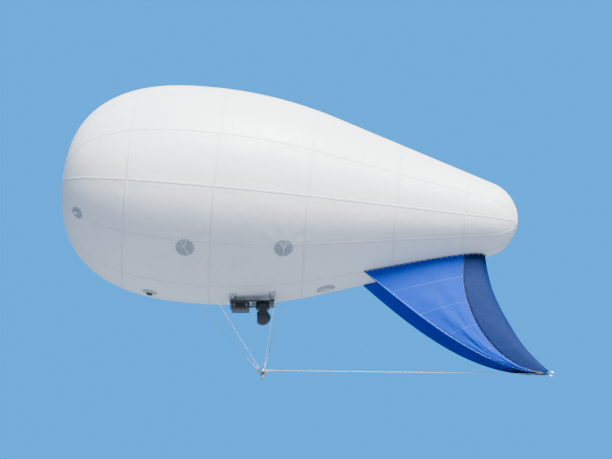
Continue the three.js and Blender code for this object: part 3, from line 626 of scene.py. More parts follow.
def keep(piece, *nodes, body="balloon"):
    """Puts a finished piece on its body, and hides the solids it stands for."""
    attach(piece, body)
    if nodes:
        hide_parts(*nodes)
    return piece


# %% Make the gas bag
MERIDIANS = GORES * 28
NOSE_RINGS, BODY_RINGS, CAP_RINGS = 64, 150, 24


def ring_stations():
    nose_turn = np.linspace(0, math.pi / 2, NOSE_RINGS + 1)
    nose = WIDEST * (1 - np.cos(nose_turn) ** (2 / FULLNESS))
    body = np.linspace(WIDEST, CONE_END, BODY_RINGS + 1)[1:]
    cap_turn = np.linspace(CONE, math.pi / 2, CAP_RINGS + 1)[1:]
    return np.concatenate([nose, body, CAP_CENTRE + CAP_RADIUS * np.sin(cap_turn)])


def make_gas_bag():
    stations = ring_stations()
    inner = stations[1:-1]
    x, angle = np.meshgrid(ORIGIN - inner, turns(MERIDIANS), indexing="ij")
    poles = level([(ORIGIN, 0, 0), (ORIGIN - LENGTH, 0, 0)])
    points, faces = closed_rings(skin(x, angle)[0], poles)
    steps = np.hypot(np.diff(stations), np.diff(profile_radius(stations)))
    along = np.concatenate([[0], np.cumsum(steps)])
    uv = np.stack(np.broadcast_arrays(angle * RADIUS, along[1:-1, None]), axis=-1).reshape(-1, 2)
    uv = np.concatenate([uv, [[0, along[0]], [0, along[-1]]]])
    bag = new_piece("gas_bag", points, faces, SKIN, uv, closed=True)
    turned_off = np.abs((angle - FIRST_SEAM + GORE / 2) % GORE - GORE / 2)
    from_seam = turned_off * profile_radius(inner)[:, None]
    attribute = bag.data.attributes.new("seam_distance", "FLOAT", "POINT")
    attribute.data.foreach_set("value", np.concatenate([from_seam.ravel(), [0, 0]]))
    return bag


keep(make_gas_bag(), "envelope_shell")

# %% [markdown]
# ## Tapes, ropes and small parts by Geometry Nodes
# Webbing, rope, stitches and screws repeat, or follow a path. Each could be looped in mesh code,
# but a tree with named sizes is built once and used everywhere. The first runs a flat tape along
# guide lines, turned by the surface's own direction. The second lays three strands round each other
# as a rope. The third sets copies of a small part on guide points. They become plain meshes.

# %% Tree helpers
GEOMETRY, MATERIAL = "NodeSocketGeometry", "NodeSocketMaterial"


def geometry_tree(name, inputs):
    """An empty geometry group with named inputs, its board, its inputs and its output node."""
    group = bpy.data.node_groups.new(name, "GeometryNodeTree")
    for label, kind in [("Geometry", GEOMETRY), *inputs, ("Material", MATERIAL)]:
        group.interface.new_socket(label, in_out="INPUT", socket_type=kind)
    group.interface.new_socket("Geometry", in_out="OUTPUT", socket_type=GEOMETRY)
    board = Board(group)
    return board, board.add("NodeGroupInput").outputs, board.add("NodeGroupOutput")


def close_tree(board, given, result, geometry):
    """Ends a tree with plain geometry in its material."""
    plain = board.out("GeometryNodeRealizeInstances", {0: geometry})
    dressed = board.out("GeometryNodeSetMaterial", {"Geometry": plain, "Material": given["Material"]})
    smooth = board.out("GeometryNodeSetShadeSmooth", {"Geometry": dressed})
    board.put(result, "Geometry", smooth)
    print(f"{board.tree.name}: {len(board.tree.nodes)} nodes")
    return board.tree


def store_uv(board, geometry, across, along):
    """Writes a UV map in metres from two values."""
    pair = board.out("ShaderNodeCombineXYZ", {0: across, 1: along})
    inputs = {"Geometry": geometry, "Name": "UVMap", "Value": pair}
    settings = {"data_type": "FLOAT2", "domain": "CORNER"}
    return board.out("GeometryNodeStoreNamedAttribute", inputs, **settings)


def stored_way(board, name):
    """A vector that the guide's points carry."""
    return board.out("GeometryNodeInputNamedAttribute", {"Name": name}, data_type="FLOAT_VECTOR")


def captured(board, geometry, name, value):
    """Stores a value on the points of some geometry, and hands back both."""
    node = board.add("GeometryNodeCaptureAttribute", {"Geometry": geometry})
    node.capture_items.new("FLOAT", name)
    board.put(node, 1, value)
    return node.outputs[0], node.outputs[1]


# %% Tape tree
ROUNDING = 0.45  # of the thickness, at the tape's edges


def tape_tree():
    board, given, result = geometry_tree("Tape along guides", [("Width", FLOAT), ("Thickness", FLOAT)])
    curve = board.out("GeometryNodeMeshToCurve", {"Mesh": given["Geometry"]})
    length = board.add("GeometryNodeSplineParameter").outputs["Length"]
    curve, along = captured(board, curve, "along", length)
    inputs = {"Curve": curve, "Normal": stored_way(board, "facing")}
    turned = board.out("GeometryNodeSetCurveNormal", inputs, mode="FREE")
    sides = {0: given["Thickness"], 1: given["Width"]}
    slab = board.out("GeometryNodeCurvePrimitiveQuadrilateral", sides)
    rounding = board.times(given["Thickness"], ROUNDING)
    inputs = {"Curve": slab, "Radius": rounding, "Count": 2}
    flat = board.out("GeometryNodeFilletCurve", inputs, mode="POLY")
    place = board.out("GeometryNodeInputPosition")
    side = board.add("ShaderNodeSeparateXYZ", {0: place}).outputs[1]
    profile, across = captured(board, flat, "across", side)
    inputs = {"Curve": turned, "Profile Curve": profile, "Fill Caps": True}
    mapped = store_uv(board, board.out("GeometryNodeCurveToMesh", inputs), across, along)
    return close_tree(board, given, result, mapped)


TAPE_TREE = tape_tree()

# %% Rope tree
STRANDS = 3
STRAND_SIDES = 7
STRAND_REACH, STRAND_RADIUS = 0.27, 0.24  # of the rope's diameter


def rope_tree():
    inputs = [("Diameter", FLOAT), ("Pitch", FLOAT), ("Step", FLOAT)]
    board, given, result = geometry_tree("Laid rope", inputs)
    curve = board.out("GeometryNodeMeshToCurve", {"Mesh": given["Geometry"]})
    inputs = {"Curve": curve, "Length": given["Step"]}
    even = board.out("GeometryNodeResampleCurve", inputs, mode="LENGTH")
    along = board.add("GeometryNodeSplineParameter").outputs["Length"]
    tangent = board.out("GeometryNodeInputTangent")
    normal = board.out("GeometryNodeInputNormal")
    side = board.out("ShaderNodeVectorMath", {0: tangent, 1: normal}, operation="CROSS_PRODUCT")
    wound = board.times(board.math("DIVIDE", along, given["Pitch"]), math.tau)
    reach = board.times(given["Diameter"], STRAND_REACH)
    join = board.add("GeometryNodeJoinGeometry")
    for strand in range(STRANDS):
        turn = board.math("ADD", wound, strand * math.tau / STRANDS)
        parts = []
        for direction, wave in ((normal, "COSINE"), (side, "SINE")):
            amount = board.times(board.math(wave, turn), reach)
            inputs = {0: direction, "Scale": amount}
            parts.append(board.out("ShaderNodeVectorMath", inputs, operation="SCALE"))
        offset = board.out("ShaderNodeVectorMath", dict(enumerate(parts)), operation="ADD")
        moved = board.out("GeometryNodeSetPosition", {"Geometry": even, "Offset": offset})
        board.put(join, 0, moved)
    sizes = {"Resolution": STRAND_SIDES, "Radius": board.times(given["Diameter"], STRAND_RADIUS)}
    section = board.add("GeometryNodeCurvePrimitiveCircle", sizes).outputs["Curve"]
    inputs = {"Curve": join.outputs[0], "Profile Curve": section, "Fill Caps": True}
    swept = board.out("GeometryNodeCurveToMesh", inputs)
    return close_tree(board, given, result, swept)


ROPE_TREE = rope_tree()

# %% Scatter tree
def scatter_tree():
    board, given, result = geometry_tree("Small parts on guide points", [("Part", "NodeSocketObject")])
    points = board.out("GeometryNodeMeshToPoints", {"Mesh": given["Geometry"]})
    part = board.add("GeometryNodeObjectInfo", {"Object": given["Part"]})
    turn = None
    for name, axis, pivot in (("facing", "Z", "AUTO"), ("along", "X", "Z")):
        inputs = {"Vector": stored_way(board, name)}
        align = board.add("FunctionNodeAlignRotationToVector", inputs, axis=axis, pivot_axis=pivot)
        if turn is not None:
            board.put(align, "Rotation", turn)
        turn = align.outputs[0]
    inputs = {"Points": points, "Instance": part.outputs["Geometry"], "Rotation": turn}
    copies = board.out("GeometryNodeInstanceOnPoints", inputs)
    return close_tree(board, given, result, copies)


SCATTER_TREE = scatter_tree()


# %% Grow a piece on a guide
def guide(name, lines, **ways):
    """A mesh of loose lines, or of points where each line has one, with vectors stored on them."""
    mesh = bpy.data.meshes.new(name)
    points = np.concatenate([np.asarray(line, float).reshape(-1, 3) for line in lines])
    edges = []
    start = 0
    for line in lines:
        edges += [(start + i, start + i + 1) for i in range(len(line) - 1)]
        start += len(line)
    mesh.from_pydata(points.tolist(), edges, [])
    for way, values in ways.items():
        attribute = mesh.attributes.new(way, "FLOAT_VECTOR", "POINT")
        flat = np.concatenate([np.asarray(value, float).reshape(-1, 3) for value in values])
        attribute.data.foreach_set("vector", flat.ravel())
    return linked(name, mesh)


def evaluated(piece, name):
    """The piece as its modifiers make it, as a plain mesh object. The first object goes."""
    depsgraph = bpy.context.evaluated_depsgraph_get()
    mesh = bpy.data.meshes.new_from_object(piece.evaluated_get(depsgraph))
    mesh.name = name
    bpy.data.objects.remove(piece)
    return linked(name, mesh)


def grow(guide_object, tree, **values):
    """Runs a geometry tree on a guide and returns the plain mesh that it makes."""
    name = guide_object.name
    guide_object.name = f"{name}_guide"
    modifier = guide_object.modifiers.new("grow", "NODES")
    modifier.node_group = tree
    for item in tree.interface.items_tree:
        if item.in_out == "INPUT" and item.name.lower() in values:
            modifier[item.identifier] = values[item.name.lower()]
    return evaluated(guide_object, name)


def tapes(name, lines, facings, width, thickness, material):
    made = guide(name, lines, facing=facings)
    return grow(made, TAPE_TREE, width=width, thickness=thickness, material=material)


def scatter(name, part, places, facing, along):
    """Copies of a small part, which is then removed, on points. Its ways up and along may be shared."""
    shape = (len(places), 3)
    ways = {"facing": np.broadcast_to(facing, shape), "along": np.broadcast_to(along, shape)}
    made = guide(name, [[place] for place in places], **ways)
    piece = grow(made, SCATTER_TREE, part=part, material=part.data.materials[0])
    bpy.data.objects.remove(part)
    return piece


# %% [markdown]
# ## Seam tapes
# Every seam between gores is covered by a taped strip, and the gores themselves are pieced from
# shorter lengths, so rings of tape cross them. The tape tree could make them, but a swept flat tape
# would cut into the puckers. So each is a narrow grid of its own, dropped onto the bag edge by edge.

# %% Make the seam tapes
TAPE_WIDTH = 0.05
TAPE_LIFT = 0.0022
RIM_DROP = -0.004  # a rim ends this far inside the skin
CROSS_SEAMS = [2.35, 0.45, -1.55, -3.45, -4.95]  # ahead of the origin
UNDER_NOSE_CAP, UNDER_TAIL_CAP = 0.40, 0.24  # radius at which a tape ends


def run_along(line):
    """How far each point of a line is from its start, along it."""
    return np.append(0, np.linalg.norm(np.diff(line, axis=0), axis=1).cumsum())


def ribbon(x, up, round_bag=False):
    """A tape on the bag along a line of places. One that runs round the bag closes on itself."""
    offsets = np.array([-0.5, -0.5, -0.25, 0.0, 0.25, 0.5, 0.5]) * TAPE_WIDTH
    lifts = np.array([RIM_DROP, *[TAPE_LIFT] * 5, RIM_DROP])
    x, up = x[:, None] + 0 * offsets, up[:, None] + 0 * offsets
    if round_bag:
        x = x + offsets
    else:
        up = up + offsets / profile_radius(ORIGIN - x)
    points, _ = skin(x, up, lifts + 0 * x)
    rows, columns = points.shape[:2]
    run = run_along(points[:, columns // 2])
    if round_bag:
        faces = ring_faces(rows, columns)
    else:
        faces = grid_faces(rows, columns, wrap=True)
        faces += [tuple(range(columns)), tuple(range((rows - 1) * columns, rows * columns))]
    uv = np.stack(np.broadcast_arrays(offsets, run[:, None]), axis=-1).reshape(-1, 2)
    return points.reshape(-1, 3), faces, uv


def stacked(name, layers, material):
    """Joins closed bodies of points, faces and UVs into one piece."""
    points, faces, uvs, start = [], [], [], 0
    for some_points, some_faces, some_uv in layers:
        points.append(some_points)
        uvs.append(some_uv)
        faces += [tuple(start + k for k in face) for face in some_faces]
        start += len(some_points)
    return new_piece(name, np.concatenate(points), faces, material, np.concatenate(uvs), closed=True)


def make_seam_tapes():
    stations = ring_stations()
    ends = np.where(stations > CAP_CENTRE, UNDER_TAIL_CAP, UNDER_NOSE_CAP)
    run = ORIGIN - stations[profile_radius(stations) > ends]
    turn = turns(MERIDIANS)
    layers = [ribbon(run, np.full_like(run, FIRST_SEAM + i * GORE)) for i in range(GORES)]
    layers += [ribbon(np.full_like(turn, x), turn, round_bag=True) for x in CROSS_SEAMS]
    return stacked("gore_seam_tapes", layers, TAPE)


keep(make_seam_tapes())

# %% [markdown]
# ## Solid bodies in mesh code
# Rings, shackles, screws and valves are turned, bent or cut from plate. Blender's primitives could
# be joined for them, but each would need its own bevel. One maker collects such bodies, each with
# its place, and hands them back as one piece with a small bevel, because a real edge always
# catches a line of light.

# %% Places and directions
def axes(origin, z_way, x_way=(1, 0, 0)):
    """A place whose Z looks along z_way and whose X is as near x_way as that lets it be."""
    z = Vector(z_way).normalized()
    y = z.cross(Vector(x_way)).normalized()
    place = Matrix((y.cross(z), y, z)).transposed().to_4x4()
    place.translation = Vector(origin)
    return place


def unit(vectors):
    """Each vector of an array at a length of one."""
    return vectors / np.linalg.norm(vectors, axis=-1, keepdims=True)


print("a place ahead of the origin:", tuple(axes((1, 0, 0), (0, 0, 1)).translation))

# %% A maker for small hard parts
class Parts:
    """Collects closed bodies in one mesh."""

    def __init__(self):
        self.shape = bmesh.new()

    def add(self, points, faces, place=Matrix()):
        corners = [self.shape.verts.new(place @ Vector(point)) for point in np.reshape(points, (-1, 3))]
        made = [self.shape.faces.new([corners[i] for i in face]) for face in faces]
        bmesh.ops.recalc_face_normals(self.shape, faces=made)

    def turned(self, profile, place=Matrix(), sides=40):
        """A body turned about Z. The profile of (radius, height) starts and ends on the axis."""
        turn = turns(sides)
        rings = [[(r * math.cos(a), r * math.sin(a), z) for a in turn] for r, z in profile[1:-1]]
        ends = [(0, 0, profile[0][1]), (0, 0, profile[-1][1])]
        self.add(*closed_rings(np.array(rings), ends), place)

    def ring(self, profile, place=Matrix(), sides=40):
        """A body turned about Z from a closed profile that stays off the axis."""
        turn = turns(sides)
        rows = [[(r * math.cos(a), r * math.sin(a), z) for r, z in profile] for a in turn]
        self.add(rows, ring_faces(sides, len(profile)), place)

    def plate(self, outline, thick, place=Matrix()):
        """A flat plate about Z = 0, from an outline of (x, y) points."""
        count = len(outline)
        points = [(x, y, -thick / 2) for x, y in outline] + [(x, y, thick / 2) for x, y in outline]
        faces = [tuple(range(count)), tuple(range(count, 2 * count))]
        faces += [(i, (i + 1) % count, count + (i + 1) % count, count + i) for i in range(count)]
        self.add(points, faces, place)

    def rod(self, path, radius, place=Matrix(), closed=False, sides=12):
        """A round rod bent along a path of points."""
        path = np.array(path, float)
        ahead = np.roll(path, -1, axis=0) - np.roll(path, 1, axis=0)
        if not closed:
            ahead[0], ahead[-1] = path[1] - path[0], path[-1] - path[-2]
        ahead = unit(ahead)
        up = np.eye(3)[int(np.argmin(np.ptp(path, axis=0)))]  # the path spreads least along it
        turn = turns(sides)
        rings = []
        for point, way in zip(path, ahead):
            side = np.cross(way, up)
            side /= np.linalg.norm(side)
            other = np.cross(side, way)
            rings.append([point + radius * (math.cos(a) * side + math.sin(a) * other) for a in turn])
        if closed:
            self.add(rings, ring_faces(len(path), sides), place)
        else:
            self.add(*closed_rings(np.array(rings), (path[0], path[-1])), place)

    def piece(self, name, material, bevel=0.0, segments=2):
        mesh = bpy.data.meshes.new(name)
        self.shape.to_mesh(mesh)
        self.shape.free()
        mesh.materials.append(material)
        return finished(linked(name, mesh), bevel, segments)


# %% Edges and outlines
SHARP = math.radians(35)


def finished(piece, bevel=0.0, segments=2):
    """Bevels a piece's sharp edges and shades the rest smooth."""
    if bevel:
        edge = piece.modifiers.new("edge", "BEVEL")
        edge.width = bevel
        edge.segments = segments
        edge.limit_method = "ANGLE"
        edge.angle_limit = SHARP
        piece = evaluated(piece, piece.name)
    piece.data.shade_smooth()
    piece.data.set_sharp_from_angle(angle=SHARP)
    return piece


def arc(radius, start, end, count, centre=(0.0, 0.0)):
    """Points of an arc in the plane, from one angle to another in degrees."""
    turn = np.radians(np.linspace(start, end, count))
    return [(centre[0] + radius * math.cos(a), centre[1] + radius * math.sin(a)) for a in turn]


def rounded(front, rear, half, corner, steps=5):
    """Outline of a rectangle with round corners, from rear to front and half to each side."""
    middle = (front + rear) / 2
    outline = []
    for turn, x, side in ((0, front, 1), (90, rear, 1), (180, rear, -1), (270, front, -1)):
        centre = (x - math.copysign(corner, x - middle), side * (half - corner))
        outline += arc(corner, turn, turn + 90, steps, centre)
    return outline


print(f"edges sharper than {math.degrees(SHARP):.0f} degrees are bevelled")


# %% [markdown]
# ## Fasteners
# Several hundred fasteners hold this object together, so each kind is modelled once, standing on
# Z = 0, and then scattered by the third tree. A socket screw has its hole, a bolt its washer, an
# eyelet its rolled rim. A stitch is one short bead with few faces, because there are thousands.

# %% Small parts to scatter
def screw(name, radius=0.004, height=0.0035):
    parts = Parts()
    well = radius * 0.5
    parts.turned([(0, -0.001), (radius, -0.001), (radius, height * 0.8), (radius * 0.86, height),
                  (well, height), (well, height * 0.35), (0, height * 0.35)], sides=12)
    return parts.piece(name, STEEL)


def drum(radius, low, high):
    """The profile of a cylinder, for a turned body."""
    return [(0, low), (radius, low), (radius, high), (0, high)]


def bolt(name, radius=0.006, height=0.006):
    parts = Parts()
    parts.turned(drum(radius * 1.75, -0.001, 0.0015), sides=16)
    top = height + 0.0012
    head = [(0, 0.001), (radius * 1.1, 0.001), (radius * 1.1, height), (radius * 0.9, top), (0, top)]
    parts.turned(head, sides=6)
    return parts.piece(name, STEEL)


def eyelet(name, bore=0.006, rim=0.012):
    parts = Parts()
    middle, thick = (bore + rim) / 2, (rim - bore) / 2
    turn = turns(8)
    parts.ring([(middle + thick * math.cos(a), 0.0016 * math.sin(a)) for a in turn], sides=16)
    return parts.piece(name, ALUMINIUM)


def stitch(name, length=0.007, radius=0.0009):
    parts = Parts()
    rise = radius * 0.8
    parts.rod([(-length / 2, 0, 0), (-length / 4, 0, rise), (length / 4, 0, rise), (length / 2, 0, 0)],
              radius, sides=5)
    return parts.piece(name, ROPE)


def between(stops, run, values):
    """Vectors at stops along a line, from the values at its points."""
    return np.stack([np.interp(stops, run, values[:, k]) for k in range(3)], axis=-1)


def stitched(name, lines, outwards, pitch, length=0.007):
    """Stitches along lines of points, each line with its outward directions."""
    places, facing, along = [], [], []
    for line, outward in zip(lines, outwards):
        line, outward = np.asarray(line, float), np.asarray(outward, float)
        run = run_along(line)
        stops = np.arange(pitch / 2, run[-1], pitch)
        for axis_list, values in ((places, line), (facing, outward), (along, np.gradient(line, axis=0))):
            axis_list.append(between(stops, run, values))
    everything = [np.concatenate(values) for values in (places, facing, along)]
    print(f"{name}: {len(everything[0])} stitches")
    return scatter(name, stitch(f"{name}_stitch", length), *everything)


# %% [markdown]
# ## Reinforcement patches
# A patch is cloth glued on in layers, each smaller than the one below. Its rim is cut into round
# fingers, so that the load spreads into the skin bit by bit. A shrinkwrapped disc would wrinkle at
# its rim. So each layer is a grid of rings about the patch's centre, set on the bag by the same
# function as the skin, with its rim brought down into the skin and closed.

# %% Make the load patches
SPOKES = 120
FLOOR_DROP = -0.014


def round_layer(points, ends, along, across):
    """A closed layer of rings of points, with two values for each point as its UVs."""
    uv = np.stack([along, across], axis=-1).reshape(-1, 2)
    middle = uv.mean(axis=0)
    return *closed_rings(points, ends), np.concatenate([uv, [middle, middle]])


def layer(x0, up, radius, lift, fingers=0, depth=0.0, rings=8):
    """Points, faces and UVs of one closed cloth layer round a place on the side of the bag."""
    turn = turns(SPOKES)
    rim = radius * (1 - depth * (0.5 - 0.5 * np.cos(fingers * turn)) ** 2)
    share = np.append(np.linspace(0.1, 1, rings), 1.0)[:, None]
    height = np.append(np.full(rings, lift), RIM_DROP)[:, None]
    body_radius = float(profile_radius(ORIGIN - x0))
    across, along = share * rim * np.sin(turn), share * rim * np.cos(turn)
    points, _ = skin(x0 + along, up + across / body_radius, height + 0 * along)
    centres = [skin(x0, up, drop)[0] for drop in (lift, FLOOR_DROP)]
    return round_layer(points, centres, along, across)


for end, (x0, up, radius) in LOAD_PATCHES.items():
    for side_name, side in SIDES.items():
        layers = [
            layer(x0, side * up, radius, 0.0030, fingers=16, depth=0.17),
            layer(x0, side * up, radius * 0.72, 0.0052, fingers=16, depth=0.13),
            layer(x0, side * up, radius * 0.42, 0.0072),
        ]
        piece = stacked(f"finger_patch_{end}_{side_name}", layers, PATCH)
        keep(piece, f"load_patch_{end}_{side_name}")

# %% [markdown]
# ## The scoop's surface
# Under the tail hangs a cloth scoop, which the wind fills so that it steers the balloon like a fin.
# It is a half cone, open forward and below. Cloth pinned at its edges could be blown full by a
# simulation, but a scoop under load is nearly still, and its outline has to stay that of its solids.
# So two free curves give its outline, hem and stern, and a width joins them. A second function adds
# what wind and seams do: each panel swells, and folds run from the corner and from each lacing.

# %% Scoop shape
SCOOP_HEM = np.array([(-2.857, -1.573), (-4.151, -2.527), (-5.557, -3.602), (-7.084, -3.400)])
SCOOP_STERN = np.array([(-5.448, -0.860), (-5.544, -1.846), (-6.243, -2.886), (-7.084, -3.400)])
SCOOP_HALF_WIDTH = np.array([0.460, 0.620, 0.350, 0.0])
SCOOP_BLUNTNESS = 0.25
SEAM_TOP, SEAM_GROWTH = 0.57, 0.8
SIDE_END, STERN_END = 0.9, 0.965  # how far down the panels reach
LACE_SPACING = 0.12
CLOTH_THICK = 0.0022
EDGE_LIFT = 0.007  # the laced edge stands this far off the skin


def normals_of(points):
    """Outward normals of a grid of points, from its two directions."""
    return unit(np.cross(np.gradient(points, axis=1), np.gradient(points, axis=0)))


def bezier(points, t):
    """A cubic curve through the first and last of four points, for an array of places."""
    t = np.asarray(t, float)
    weights = ((1 - t) ** 3, 3 * t * (1 - t) ** 2, 3 * t**2 * (1 - t), t**3)
    return sum(np.multiply.outer(weight, point) for weight, point in zip(weights, points))


def scoop(down, around):
    """The scoop's surface: down is 0 at the belly and 1 at the corner, around -1 to 1, hem to hem."""
    down, around = np.broadcast_arrays(np.asarray(down, float), np.asarray(around, float))
    hem, stern = bezier(SCOOP_HEM, down), bezier(SCOOP_STERN, down)
    reach = SCOOP_BLUNTNESS * around**2 + (1 - SCOOP_BLUNTNESS) * around**4
    top = SCOOP_STERN[0] + np.multiply.outer(reach, SCOOP_HEM[0] - SCOOP_STERN[0])
    top_y = SCOOP_HALF_WIDTH[0] * around
    x = stern[..., 0] + (hem[..., 0] - stern[..., 0]) * reach
    y = bezier(SCOOP_HALF_WIDTH, down) * around
    z = stern[..., 1] + (hem[..., 1] - stern[..., 1]) * reach
    radius = profile_radius(ORIGIN - top[..., 0])
    flat = level(np.stack([x, y, z], axis=-1))
    edge = level(np.stack([top[..., 0], top_y, top[..., 1]], axis=-1))
    belly, _ = skin(top[..., 0], np.arcsin(top_y / radius), EDGE_LIFT)
    return flat + (belly - edge) * ((1 - down) ** 3)[..., None]


def seam_at(down):
    """Where the side panels meet the stern panel, as a place around the scoop."""
    return SEAM_TOP + (1 - SEAM_TOP) * down**SEAM_GROWTH


print("scoop reaches from", scoop(0.0, 1.0).round(2), "to its corner at", scoop(1.0, 0.0).round(2))


# %% Fill the panels
SWELL = 0.05
LACE_FOLD, LACE_FADE = 0.006, 0.10  # height of the folds, and how far down they fade out
CORNER_FOLD, CORNER_FADE = 0.010, 0.9
DRAG_FOLD, FINE_FOLD = 0.009, 0.004


def filled(points, u, v):
    """Swells a panel and folds it. u runs across it and v down it."""
    across = np.linalg.norm(np.diff(points, axis=1, prepend=points[:, :1]), axis=-1).cumsum(axis=1)
    fall = np.linalg.norm(np.diff(points, axis=0, prepend=points[:1]), axis=-1).cumsum(axis=0)
    inside = np.sin(math.pi * u)
    height = SWELL * inside**0.9 * np.sin(math.pi * np.clip(v, 0, 1)) ** 0.8
    laces = np.cos(math.tau * across[:1] / LACE_SPACING)
    height += LACE_FOLD * laces * np.exp(-fall / LACE_FADE)
    to_corner = fall[-1:] - fall
    height += CORNER_FOLD * np.sin(math.tau * 3.5 * u + 0.6) * np.exp(-to_corner / CORNER_FADE) * inside
    drag = np.sin(math.tau * (2.2 * u + 1.6 * v) + 0.8) * inside * np.sin(math.pi * v)
    height += DRAG_FOLD * drag + FINE_FOLD * np.sin(math.tau * (5.2 * u - 3.1 * v)) * inside * v
    return points + normals_of(points) * height[..., None], np.stack([across, fall], axis=-1)


def walled(cloth, thick):
    """Gives a sheet its thickness, half of it to each side."""
    wall = cloth.modifiers.new("wall", "SOLIDIFY")
    wall.thickness = thick
    wall.offset = 0.0
    return evaluated(cloth, cloth.name)


def panel(name, start, end, bottom, material, hem_at):
    """One panel of the scoop, from start(down) to end(down) round it, as closed thin cloth."""
    v, u = np.meshgrid(np.linspace(0, 1, ROWS), np.linspace(0, 1, COLUMNS), indexing="ij")
    down = v * bottom
    points = scoop(down, start(down) + (end(down) - start(down)) * u)
    points, uv = filled(points, u, v)
    CLOTH[name] = points
    cloth = new_piece(name, points, grid_faces(ROWS, COLUMNS), material, uv)
    # the share towards the hem, which the sailcloth uses to paint the side panels paler, a painted light
    hem = cloth.data.attributes.new("toward_hem", "FLOAT", "POINT")
    hem.data.foreach_set("value", (hem_at(u) * v).ravel())
    widths, lengths = uv[:, -1, 0], uv[-1, :, 1]
    area = sum(polygon.area for polygon in cloth.data.polygons)
    print(f"{name}: {widths.max():.2f} x {lengths.max():.2f} m, {area:.2f} square metres")
    return walled(cloth, CLOTH_THICK), (float(widths.max()), float(lengths.max())), area


# %% Make the scoop's panels
COLUMNS, ROWS = 60, 150
CLOTH, FLAT = {}, {}


def other_seam(down):
    return -seam_at(down)


# the solid that each stands for, where it starts and ends round the scoop, how far down it reaches,
# its cloth, and how near the hem it is
PANELS = {
    "scoop_cloth_port": ("scoop_side_port", seam_at, np.ones_like, SIDE_END, BLUE, lambda u: u),
    "scoop_cloth_starboard": ("scoop_side_starboard", lambda down: -np.ones_like(down), other_seam,
                              SIDE_END, BLUE, lambda u: 1 - u),
    # the stern's navy cloth is dark partly as painted shade
    "scoop_cloth_stern": ("scoop_stern_panel", other_seam, seam_at, STERN_END, NAVY, lambda u: 0 * u),
}
for name, (node, *shape) in PANELS.items():
    cloth, flat, area = panel(name, *shape)
    keep(cloth, node)
    FLAT[name] = (flat, area)

# %% [markdown]
# ## Caps at nose and tail
# All twelve gores end in one point at each pole, which is hard to sew well, so a round cap of
# doubled cloth is glued over it. It could be cut out of the bag's own grid, but then its rim would
# have no thickness. So it is a stack of round layers like the side patches, about the bag's axis.

# %% Make the pole caps
NOSE_CAP, TAIL_CAP = 0.520, 0.330
POLE_RINGS = 12
FINE_STEPS = 4000  # of the profile, to find the station of a radius


def pole_layer(nose, radius, lift):
    """One round, closed cloth layer about the nose's or the tail's pole."""
    turn = turns(SPOKES)
    rings = np.append(np.linspace(0.08, 1, POLE_RINGS), 1.0)[:, None] * np.full(SPOKES, radius)
    height = np.append(np.full(POLE_RINGS, lift), RIM_DROP)[:, None]
    first, last = (0, WIDEST) if nose else (LENGTH, CAP_CENTRE)
    stations = np.linspace(first, last, FINE_STEPS)
    station = np.interp(rings, profile_radius(stations), stations)
    points, _ = skin(ORIGIN - station, turn + 0 * station, height + 0 * station)
    pole, way = (ORIGIN, 1) if nose else (ORIGIN - LENGTH, -1)
    centres = [level((pole + way * drop, 0, 0)) for drop in (lift, FLOOR_DROP)]
    return round_layer(points, centres, rings * np.cos(turn), rings * np.sin(turn))


for name, nose, radius in (("nose", True, NOSE_CAP), ("tail", False, TAIL_CAP)):
    layers = [
        pole_layer(nose, radius, 0.0030),
        pole_layer(nose, radius * 0.66, 0.0048),
        pole_layer(nose, radius * 0.24, 0.0066),
    ]
    keep(stacked(f"{name}_cap", layers, TAPE), f"{name}_patch")

# %% [markdown]
# ## Nose ties
# Two webbing tongues near the nose take the handling lines when the balloon is walked to its
# mooring. Each is a folded strap sewn upright onto a small patch, with a metal eyelet through it.
# Doubled webbing is stiff, so it needs no simulation, and is cut as a plate with soft edges.

# %% Make the nose ties
TIE_X, TIE_UP, TIE_RADIUS = 3.420, math.radians(47), 0.130
TONGUE_HALF, TONGUE_TALL, TONGUE_THICK = 0.033, 0.028, 0.010
TONGUE_FOOT = ((0.045, -0.003), (0.045, 0.008), (0.02, 0.012), (0.02, -0.003))
GROMMET_BORE, GROMMET_RIM = 0.009, 0.018


def skin_place(x, up, lift=0.0):
    """The place of a part that stands on the bag, with its X forward."""
    point, outward = skin(x, up, lift)
    return axes(point, outward, level((1, 0, 0)))


def upright(place):
    """Turns a place so that its Y becomes the way out from the bag."""
    return place @ Matrix.Rotation(math.pi / 2, 4, "X")


def band(inner, outer, half, rim=None):
    """The profile of a ring that is 2 * half tall on its inside and 2 * rim tall on its outside."""
    rim = half if rim is None else rim
    return [(inner, -half), (outer, -rim), (outer, rim), (inner, half)]


for side_name, side in SIDES.items():
    up = side * TIE_UP
    layers = [
        layer(TIE_X, up, TIE_RADIUS, 0.0025, fingers=12, depth=0.12),
        layer(TIE_X, up, TIE_RADIUS * 0.6, 0.0048),
    ]
    patch = stacked(f"nose_tie_patch_{side_name}", layers, PATCH)
    keep(patch, f"nose_tie_{side_name}")
    place = upright(skin_place(TIE_X, up))
    tongue = Parts()
    outline = arc(TONGUE_HALF, 0, 180, 17, (0, TONGUE_TALL))
    outline += [(-TONGUE_HALF, -0.005), (TONGUE_HALF, -0.005)]
    tongue.plate(outline, TONGUE_THICK, place)
    for edge in (-1, 1):
        tongue.plate([(edge * x, y) for x, y in TONGUE_FOOT], TONGUE_THICK * 2.6, place)
    keep(tongue.piece(f"nose_tie_tongue_{side_name}", WEBBING, bevel=0.003))
    grommet = Parts()
    grommet.ring(band(GROMMET_BORE, GROMMET_RIM, TONGUE_THICK / 2 + 0.001),
                 place @ Matrix.Translation((0, TONGUE_TALL, 0)))
    keep(grommet.piece(f"nose_tie_grommet_{side_name}", STEEL, bevel=0.0012))

# %% [markdown]
# ## Gas fittings
# On the keel line the bag has an inflation port and a relief valve. Both are moulded: a flange is
# clamped to the cloth by a ring of screws, and a short neck carries the cap or the valve plate.
# Copies of their solids could be bevelled, but those have few sides and no ribs. So they are turned
# again from finer profiles at the same place, with a soft reinforcement under the flange.

